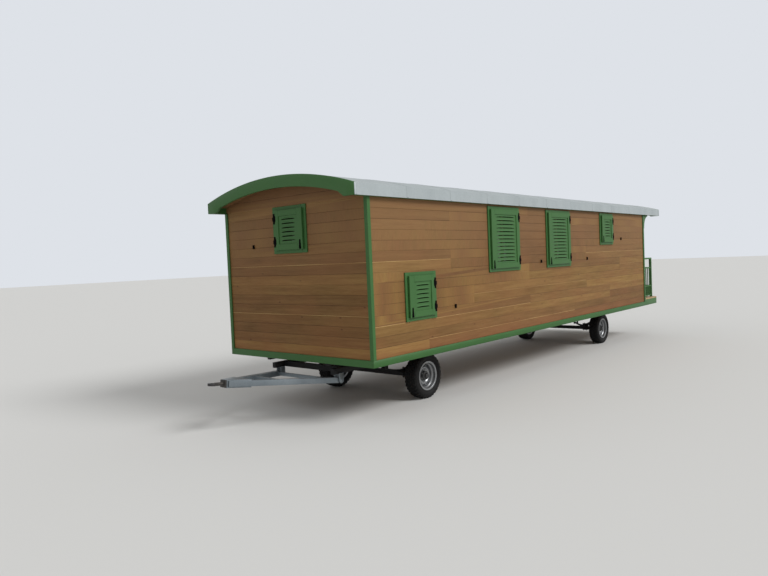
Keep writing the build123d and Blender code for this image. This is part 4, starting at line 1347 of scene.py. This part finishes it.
@dataclass
class Joinery(Assembly):
    """The painted boards round the foot, corners and windows, and the sashes behind the shutters."""
    edge: float = 0.003
    sash_width: float = 0.045
    sash_depth: float = 0.05
    sash_in: float = 0.045
    seed: int = 3

    def build(self) -> None:
        """Builds the trims and the window frames."""
        for node in ("base_trim", "corner_trims"):
            settle(f"{node}_boards", eased_copy(node, GREEN.material, self.edge), node)
        settle("casing_boards", joined(*map(self.casing, WINDOWS)), "window_casings")
        settle("sash_bars", joined(*map(self.sash, WINDOWS)), "window_sashes")
        dress(PANE.material, "window_panes")
        dress(IRON.material, "shutter_pintles", "shutter_holdbacks")
        dress(INNER_X.material, "floor_panel")

    def casing(self, window: Window) -> Mesh:
        """The four boards round one window.

        Args:
            window: The window.

        Returns:
            The mesh.
        """
        uprights, levels = window.frame(window.width / 2, 0, window.height, window.casing,
                                        window.casing_depth / 2)
        section = Section(window.casing_depth, window.casing, self.edge)
        return bars(uprights + levels, section, window.facing.out, GREEN.material, self.seed)

    def sash(self, window: Window) -> Mesh:
        """The frame that holds one window's glass, with a middle bar in a tall one.

        Args:
            window: The window.

        Returns:
            The mesh.
        """
        low, high = window.casing, window.height - window.casing
        uprights, levels = window.frame(window.light, low, high, self.sash_width, -self.sash_in)
        if window.slots is Slots.TALL:
            uprights.append((window.at(0, low, -self.sash_in), window.at(0, high, -self.sash_in)))
        section = Section(self.sash_depth, self.sash_width, self.edge)
        return bars(uprights + levels, section, window.facing.out, SASH_WOOD.material, self.seed)


@dataclass
class Shutter(Assembly):
    """One louvred shutter: stiles and rails round a sunk panel, slots under scooped hoods."""
    window: Window
    depth: float = 0.028
    back: float = 0.025
    stile: float = 0.104
    rail: float = 0.084
    step: float = 0.012
    hollow: float = 0.008
    slot: float = 0.016
    pitch: float = 0.06
    margin: float = 0.048
    hood_rise: float = 0.018
    hood_out: float = 0.007
    hood_root: float = 0.003
    hood_lift: float = 0.0005
    hood_swell: float = 0.25
    belly_up: float = 0.4
    belly_out: float = 0.85
    hood_steps: int = 14
    edge: float = 0.003
    hinge_up: float = 0.12
    hinge_in: float = 0.017
    hinge_depth: float = 0.004
    screw_radius: float = 0.0055
    screw_height: float = 0.003
    screw_places: tuple[float, ...] = (-0.062, -0.04, 0.04, 0.062)
    latch_in: float = 0.052
    latch_low: float = 0.006
    latch_high: float = 0.132
    latch_half: Point = (0.025, 0.014)
    wing_reach: Point = (0.026, 0.05)
    wing_half: Point = (0.07, 0.03)
    plate_depth: float = 0.0025
    plate_edge: float = 0.001

    def __post_init__(self) -> None:
        """Reads the leaf's outline, panel, slots and hinges from its window."""
        window = self.window
        self.side = window.width / 2 - window.reveal
        self.foot, self.top = window.reveal, window.height - window.reveal
        self.face = self.back + self.depth
        self.sunk_face = self.face - self.step
        self.reach = self.side - self.stile - self.margin
        self.hinges = (self.foot + self.hinge_up, self.top - self.hinge_up)
        count = window.slots.value
        lowest = (self.foot + self.top - (count - 1) * self.pitch - self.slot) / 2
        self.stations = [lowest + index * self.pitch for index in range(count)]

    def build(self) -> None:
        """Builds the leaf with its louvres, and dresses its ironwork."""
        window, green, out = self.window, GREEN.material, self.back + self.depth / 2
        uprights, _ = window.frame(self.side, self.foot, self.top, self.stile, out)
        inner = self.side - self.stile
        rails = [(window.at(-inner, up, out), window.at(inner, up, out))
                 for up in (self.foot + self.rail / 2, self.top - self.rail / 2)]
        meshes = [bars(lines, Section(self.depth, width, self.edge), window.facing.out, green)
                  for lines, width in ((uprights, self.stile), (rails, self.rail))]
        leaf = f"{window.name}_shutter"
        settle(f"{window.name}_louvred_leaf", joined(*meshes, self.panel(), self.hoods()), leaf)
        screws = [(window.at(self.side - self.hinge_in, level + shift, self.face + self.hinge_depth),
                   window.facing.out) for level in self.hinges for shift in self.screw_places]
        fittings = joined(heads(screws, IRON.material, self.screw_radius, self.screw_height),
                          self.latch_plate(), *map(self.wing, self.hinges))
        settle(f"{window.name}_fittings", fittings, body=BODY_OF[leaf],
               slot=SLOT_OF[f"{leaf}_iron"])
        dress(IRON.material, f"{leaf}_iron")

    def latch_plate(self) -> Mesh:
        """The plate behind the latch, which widens towards its foot.

        Returns:
            The mesh.
        """
        middle = self.latch_in - self.side
        low, high = self.foot + self.latch_low, self.foot + self.latch_high
        wide, narrow = self.latch_half
        return self.iron_plate([(middle - wide, low), (middle + wide, low),
                                (middle + narrow, high), (middle - narrow, high)])

    def wing(self, level: float) -> Mesh:
        """The part of a hinge plate that swells out over the stile.

        Args:
            level: The height of the hinge's middle.

        Returns:
            The mesh.
        """
        near, far = (self.side - reach for reach in self.wing_reach)
        tall, short = self.wing_half
        return self.iron_plate([(near, level - tall), (near, level + tall),
                                (far, level + short), (far, level - short)])

    def iron_plate(self, outline: Sequence[Point]) -> Mesh:
        """A thin iron plate on the leaf's face.

        Args:
            outline: Its corners as (across, up) points of the window.

        Returns:
            The mesh.
        """
        corners = [self.window.at(across, up, self.face) for across, up in outline]
        return plate(corners, self.window.facing.out * self.plate_depth, IRON.material,
                     self.plate_edge)

    def panel(self) -> Mesh:
        """The sunk panel, made of what is left between its slots.

        Returns:
            The mesh.
        """
        inner = self.side - self.stile
        base, lid = self.foot + self.rail, self.top - self.rail
        parts = [(-inner, -self.reach, base, lid), (self.reach, inner, base, lid)]
        starts = [base, *[slot + self.slot for slot in self.stations]]
        parts += [(-self.reach, self.reach, start, end)
                  for start, end in zip(starts, [*self.stations, lid])]
        return boxes([ordered(self.window.at(near, low, self.back + self.hollow),
                              self.window.at(far, high, self.sunk_face))
                      for near, far, low, high in parts], GREEN.material)

    def hoods(self) -> Mesh:
        """The scooped hoods over the slots.

        Returns:
            The mesh.
        """
        face, root = self.sunk_face, self.sunk_face - self.hood_root
        shape = bmesh.new()
        for slot in self.stations:
            rows = []
            lid = slot + self.slot + self.hood_rise
            for step in range(self.hood_steps + 1):
                share = step / self.hood_steps
                swell = max(sin(pi * share), 0.0) ** self.hood_swell
                out = self.hood_out * swell
                lip = slot + self.slot * swell
                belly = lip + (lid - lip) * self.belly_up
                points = ((lip, root), (lip, face + out + self.hood_lift),
                          (belly, face + out * self.belly_out + self.hood_lift),
                          (lid, face), (lid, root))
                across = self.reach * (2 * share - 1)
                rows.append([shape.verts.new(self.window.at(across, up, depth))
                             for up, depth in points])
            bridge(shape, rows)
            for row in (rows[0], rows[-1]):
                shape.faces.new(row)
        return from_bmesh(shape, GREEN.material, smooth=50)


@dataclass
class Door(Assembly):
    """The door with its frame, glass and fittings."""
    edge: float = 0.003

    def build(self) -> None:
        """Builds the door."""
        for node in ("door_frame", "door_leaf"):
            settle(f"{node}_joinery", eased_copy(node, GREEN.material, self.edge), node)
        dress(PANE.material, "door_pane")
        dress(IRON.material, "door_handles", "door_hinge_pins", "door_hinge_knuckles")


@dataclass
class Porch(Assembly):
    """The rear porch: deck planks, railings and the brackets under the roof."""
    planks: int = 5
    gap: float = 0.006
    plank_depth: float = 0.03
    plank_edge: float = 0.004
    bearer_places: Point = (0.59, 1.42)
    bearer_width: float = 0.06
    bearer_short: float = 0.02
    bearer_edge: float = 0.002
    screw_shifts: Point = (-0.045, 0.045)
    screw_places: tuple[float, ...] = (-1.45, -0.62, 0.62, 1.45)
    screw_radius: float = 0.0045
    screw_height: float = 0.0016
    edge: float = 0.003
    seed: int = 5

    def build(self) -> None:
        """Builds the porch."""
        self.deck()
        for node in ("porch_side_railings", "porch_end_railings", "porch_braces"):
            settle(f"{node}_joinery", eased_copy(node, GREEN.material, self.edge), node)

    def deck(self) -> None:
        """Builds the planks, their screws and the bearers under them."""
        block = Block.of("porch_deck")
        pitch = (block.size.x + self.gap) / self.planks
        width = pitch - self.gap
        middle, under = block.high.z - self.plank_depth / 2, block.high.z - self.plank_depth
        places = [block.low.x + index * pitch + width / 2 for index in range(self.planks)]
        lines = [(Vector((x, block.low.y, middle)), Vector((x, block.high.y, middle)))
                 for x in places]
        planks = bars(lines, Section(self.plank_depth, width, self.plank_edge, 2), UP,
                      DECK.material, self.seed)
        screws = [(Vector((x + shift, y, block.high.z)), UP)
                  for x in places for shift in self.screw_shifts for y in self.screw_places]
        bearers = [ordered(Vector((block.low.x, side * near, block.low.z)),
                           Vector((block.high.x - self.bearer_short,
                                   side * (near + self.bearer_width), under)))
                   for side in (-1, 1) for near in self.bearer_places]
        settle("deck_planks",
               joined(planks, boxes(bearers, DECK.material, self.bearer_edge),
                      heads(screws, SCREW_ZINC.material, self.screw_radius, self.screw_height)),
               "porch_deck")


@dataclass
class Undercarriage(Assembly):
    """The chassis, springs, axles and turntable, and the galvanised ears of the drawbar's pins."""
    edge: float = 0.003
    ear_reach: float = 0.06
    ear_height: float = 0.132

    def build(self) -> None:
        """Builds the steelwork."""
        dress(CHASSIS.material, "chassis_frame", "rear_subframe", "rear_axle", "rear_springs",
              "turntable_upper_ring", "turntable_lower_ring", "front_axle", "front_springs")
        frame = eased_copy("fore_frame", CHASSIS.material, self.edge)
        frame.materials.append(TUBE_ZINC.material)
        joints = FRAME["record"]["behaviour"]["joints"]
        pin = next(joint["pos_m"] for joint in joints if joint["name"] == "drawbar_lift")
        ear_top = Block.of("fore_frame").low.z + self.ear_height
        for face in frame.polygons:
            if abs(face.center.x - pin[0]) < self.ear_reach and face.center.z < ear_top:
                face.material_index = 1
        settle("fore_frame_steelwork", frame, "fore_frame")


@dataclass(frozen=True)
class Lug:
    """A tread block: its edges in from the tyre's side, and its place as a share of the pitch."""
    outer: float
    inner: float
    start: float
    width: float
    drop: float


# Outlines of the wheel's parts as (place along the axle, radius) points, outside towards +y.
RIM_BARREL = [(0.095, 0.223), (0.085, 0.223), (0.085, 0.205), (0.049, 0.202), (0.033, 0.183),
              (-0.033, 0.183), (-0.049, 0.202), (-0.085, 0.205), (-0.085, 0.223), (-0.095, 0.223),
              (-0.095, 0.214), (-0.091, 0.196), (-0.045, 0.193), (-0.029, 0.174), (0.029, 0.174),
              (0.045, 0.193), (0.091, 0.196), (0.095, 0.214)]
RIM_DISC = [(-0.006, 0.1785), (0.004, 0.155), (0.026, 0.128), (0.028, 0.112), (0.010, 0.088),
            (0.010, 0.038), (0.002, 0.038), (0.002, 0.088), (0.018, 0.114), (-0.006, 0.148),
            (-0.016, 0.1785)]
HUB = [(0.052, 0.066), (0.056, 0.040), (0.084, 0.038), (0.088, 0.030), (0.088, 0.0), (0.045, 0.0),
       (0.045, 0.0303), (-0.070, 0.0303), (-0.070, 0.150), (-0.034, 0.150), (-0.024, 0.092),
       (0.006, 0.070)]


@dataclass
class Wheel(Assembly):
    """One wheel: a dished steel rim with hand holes and nuts, and a block-treaded tyre."""
    end: str
    hand: Hand
    segments: int = 96
    nuts: int = 6
    nut_place: tuple[float, float, float] = (0.0, 0.009, 0.070)
    nut_radius: float = 0.013
    nut_height: float = 0.02
    hand_holes: int = 8
    hand_hole_place: float = 0.148
    hand_hole_radius: float = 0.017
    hand_hole_depth: float = 0.12
    barrel_round: float = 0.004
    disc_round: float = 0.006
    hub_round: float = 0.003
    tyre_round: float = 0.014
    bead: tuple[Point, ...] = ((0.0847, 0.2053), (0.0847, 0.2255))
    wall_foot: float = 0.262
    wall_rise: float = 0.062
    wall_in: float = 0.006
    shoulder: float = 0.030
    tread_depth: float = 0.011
    tread_sunk: float = 0.004
    pitches: int = 34
    lugs: tuple[Lug, ...] = (Lug(0.016, 0.066, 0.1, 0.60, 0.008),
                             Lug(0.072, 0.108, 0.55, 0.58, 0.0))
    lug_ease: float = 0.0035
    lug_skew: float = 0.012

    def build(self) -> None:
        """Builds the rim and the tyre."""
        name = f"{self.end}_{self.hand.name.lower()}"
        tyre = Block.of(f"{name}_tyre")
        place = Matrix.Translation(tyre.middle) @ Matrix.Diagonal((1, self.hand.value, 1, 1))
        for kind, mesh in (("rim", self.rim()), ("tyre", self.tyre(tyre))):
            mesh.transform(place)
            if self.hand is Hand.LEFT:
                mesh.flip_normals()
            settle(f"{name}_{kind}_dressed", mesh, f"{name}_{kind}")

    def rim(self) -> Mesh:
        """The rim, its disc, hub and nuts, outside towards +y.

        Returns:
            The mesh.
        """
        silver = SILVER.material
        holes = bmesh.new()
        bmesh.ops.create_cone(holes, cap_ends=True, segments=20, radius1=self.hand_hole_radius,
                              radius2=self.hand_hole_radius, depth=self.hand_hole_depth,
                              matrix=Matrix.Translation(UP * self.hand_hole_place)
                              @ Matrix.Rotation(pi / 2, 4, "X"))
        tool = RING.grow(from_bmesh(holes, silver), silver, Count=self.hand_holes)
        disc = cut(lathe(rounded(RIM_DISC, self.disc_round), silver, self.segments), tool)
        disc.shade_smooth()
        disc.set_sharp_from_angle(angle=radians(35))
        nut = heads([(Vector(self.nut_place), Vector((0, 1, 0)))], silver, self.nut_radius,
                    self.nut_height, 6)
        nuts = RING.grow(nut, SCREW_ZINC.material, Count=self.nuts)
        hub = lathe(rounded(HUB, self.hub_round), HUB_GREY.material, self.segments // 2)
        barrel = lathe(rounded(RIM_BARREL, self.barrel_round), silver, self.segments)
        return joined(barrel, disc, nuts, hub)

    def tyre(self, block: Block) -> Mesh:
        """The tyre: a rounded carcass and its tread blocks.

        Args:
            block: The box of the CAD tyre.

        Returns:
            The mesh.
        """
        radius, half = block.size.z / 2, block.size.y / 2
        tread = radius - self.tread_depth
        outline = [*self.bead, (half - self.wall_in, self.wall_foot),
                   (half, radius - self.wall_rise), (half - self.wall_in, radius - self.shoulder),
                   (half - self.shoulder, tread)]
        carcass = lathe(rounded(mirrored(outline), self.tyre_round, 4), RUBBER.material,
                        self.segments, smooth=50)
        shape = bmesh.new()
        for lug in self.lugs:
            for side, shift in ((-1, 0.5), (1, 0.0)):
                turns = [2 * pi / self.pitches * (lug.start + shift + share)
                         for share in (0, lug.width)]
                self.lug(shape, (side * (half - lug.outer), side * (half - lug.inner)), turns,
                         (tread - self.tread_sunk, radius), lug.drop)
        blocks = RING.grow(from_bmesh(shape, RUBBER.material), RUBBER.material, Count=self.pitches)
        return joined(carcass, blocks)

    def lug(self, shape: bmesh.types.BMesh, reach: Point, turns: Sequence[float], heights: Point,
            drop: float) -> None:
        """Adds one tread block, a little narrower at its top.

        Args:
            shape: The bmesh that it is added to.
            reach: Its outer and inner edge along the axle.
            turns: The angles where it starts and ends.
            heights: The radii of its foot and its top.
            drop: How much lower its outer edge is.
        """
        (outer, inner), (start, end) = reach, turns
        way = 1 if outer > inner else -1
        rows = []
        for radius, inset in zip(heights, (0.0, self.lug_ease)):
            turn, skew = inset / heights[1], self.lug_skew * way / heights[1]
            spots = ((outer - way * inset, radius - drop, start + turn),
                     (outer - way * inset, radius - drop, end - turn),
                     (inner + way * inset, radius, end - turn + skew),
                     (inner + way * inset, radius, start + turn + skew))
            rows.append([shape.verts.new((height * cos(angle), along, height * sin(angle)))
                         for along, height, angle in spots])
        for row in rows:
            shape.faces.new(row)
        bridge(shape, rows)


@dataclass
class Drawbar(Assembly):
    """The galvanised drawbar with its forged towing eye."""
    tube_edge: float = 0.005
    eye_edge: float = 0.009

    def build(self) -> None:
        """Builds the drawbar."""
        settle("drawbar_tubes", eased_copy("drawbar_frame", TUBE_ZINC.material, self.tube_edge, 3),
               "drawbar_frame")
        settle("towing_eye_forging", eased_copy("towing_eye", FORGED.material, self.eye_edge, 4),
               "towing_eye")


@dataclass
class Studio:
    """The plain floor, the soft lights and the camera at the photograph's angle."""
    place: tuple[float, float, float] = (-10.8351, -6.9836, 2.1405)
    heading: float = 40.8829
    tilt: float = -2.49505
    roll: float = -2.44642
    lens: float = 30.2888
    sensor: float = 36.0
    farthest: float = 500.0
    floor_half: float = 120.0
    floor_colour: Colour = srgb(206, 206, 204)
    floor_roughness: float = 0.9
    key_strength: float = 2.08
    key_spread: float = 24.0
    key_way: tuple[float, float, float] = (-0.30, 1.0, -0.85)
    world_strength: float = 0.6
    backdrop: Colour = srgb(222, 226, 232)

    def build(self) -> None:
        """Sets the stage."""
        bpy.context.scene.view_settings.view_transform = "Standard"
        self.floor()
        self.key()
        self.surround()
        self.camera()

    def floor(self) -> None:
        """Lays the floor."""
        shape = bmesh.new()
        bmesh.ops.create_grid(shape, x_segments=8, y_segments=8, size=self.floor_half)
        mat = bpy.data.materials.new("floor")
        mat.use_nodes = True
        shader = mat.node_tree.nodes["Principled BSDF"]
        shader.inputs["Base Color"].default_value = self.floor_colour
        shader.inputs["Roughness"].default_value = self.floor_roughness
        floor = linked("floor", from_bmesh(shape, mat))

    def key(self) -> None:
        """Hangs the soft key light."""
        sun = bpy.data.lights.new("key", "SUN")
        sun.energy = self.key_strength
        sun.angle = radians(self.key_spread)
        lamp = linked("key", sun)
        lamp.rotation_euler = Vector(self.key_way).to_track_quat("-Z", "Y").to_euler()

    def surround(self) -> None:
        """Lights the scene evenly from all round, behind a backdrop for the camera alone."""
        world = bpy.data.worlds.new("surround")
        bpy.context.scene.world = world
        world.use_nodes = True
        writer = TreeWriter(world.node_tree)
        world.node_tree.nodes.clear()
        path = writer.add("ShaderNodeLightPath")
        seen = writer.sum("MAXIMUM", path.outputs["Is Camera Ray"],
                          path.outputs["Is Transmission Ray"])
        light, backdrop = (writer.add("ShaderNodeBackground", {"Color": colour, "Strength": power})
                           for colour, power in (((1.0, 1.0, 1.0, 1.0), self.world_strength),
                                                 (self.backdrop, 1.0)))
        mixed = writer.add("ShaderNodeMixShader",
                           {0: seen, 1: light.outputs[0], 2: backdrop.outputs[0]})
        writer.add("ShaderNodeOutputWorld", {"Surface": mixed.outputs[0]})

    def camera(self) -> None:
        """Stands the camera where the photograph was taken."""
        data = bpy.data.cameras.new("camera")
        data.lens, data.sensor_width = self.lens, self.sensor
        data.clip_end = self.farthest
        heading, tilt, roll = (radians(angle) for angle in (self.heading, self.tilt, self.roll))
        forward = Vector((cos(tilt) * cos(heading), cos(tilt) * sin(heading), sin(tilt)))
        level = forward.cross(UP).normalized()
        right = level * cos(roll) + level.cross(forward) * sin(roll)
        turn = Matrix((right, right.cross(forward), -forward)).transposed()
        camera = linked("camera", data)
        camera.matrix_world = Matrix.Translation(self.place) @ turn.to_4x4()
        bpy.context.scene.camera = camera


def main() -> None:
    """Builds the trailer and its stage."""
    logging.basicConfig(level=logging.INFO, format="%(message)s")
    assemblies: list[Assembly] = [Cladding(), Roof(), Joinery()]
    assemblies += [Shutter(window) for window in WINDOWS]
    assemblies += [Door(), Porch(), Undercarriage()]
    assemblies += [Wheel(end, hand) for end in ("front", "rear") for hand in Hand]
    assemblies.append(Drawbar())
    for assembly in assemblies:
        LOG.info("building %s", type(assembly).__name__)
        assembly.build()
    Studio().build()


if __name__ == "__main__":
    main()
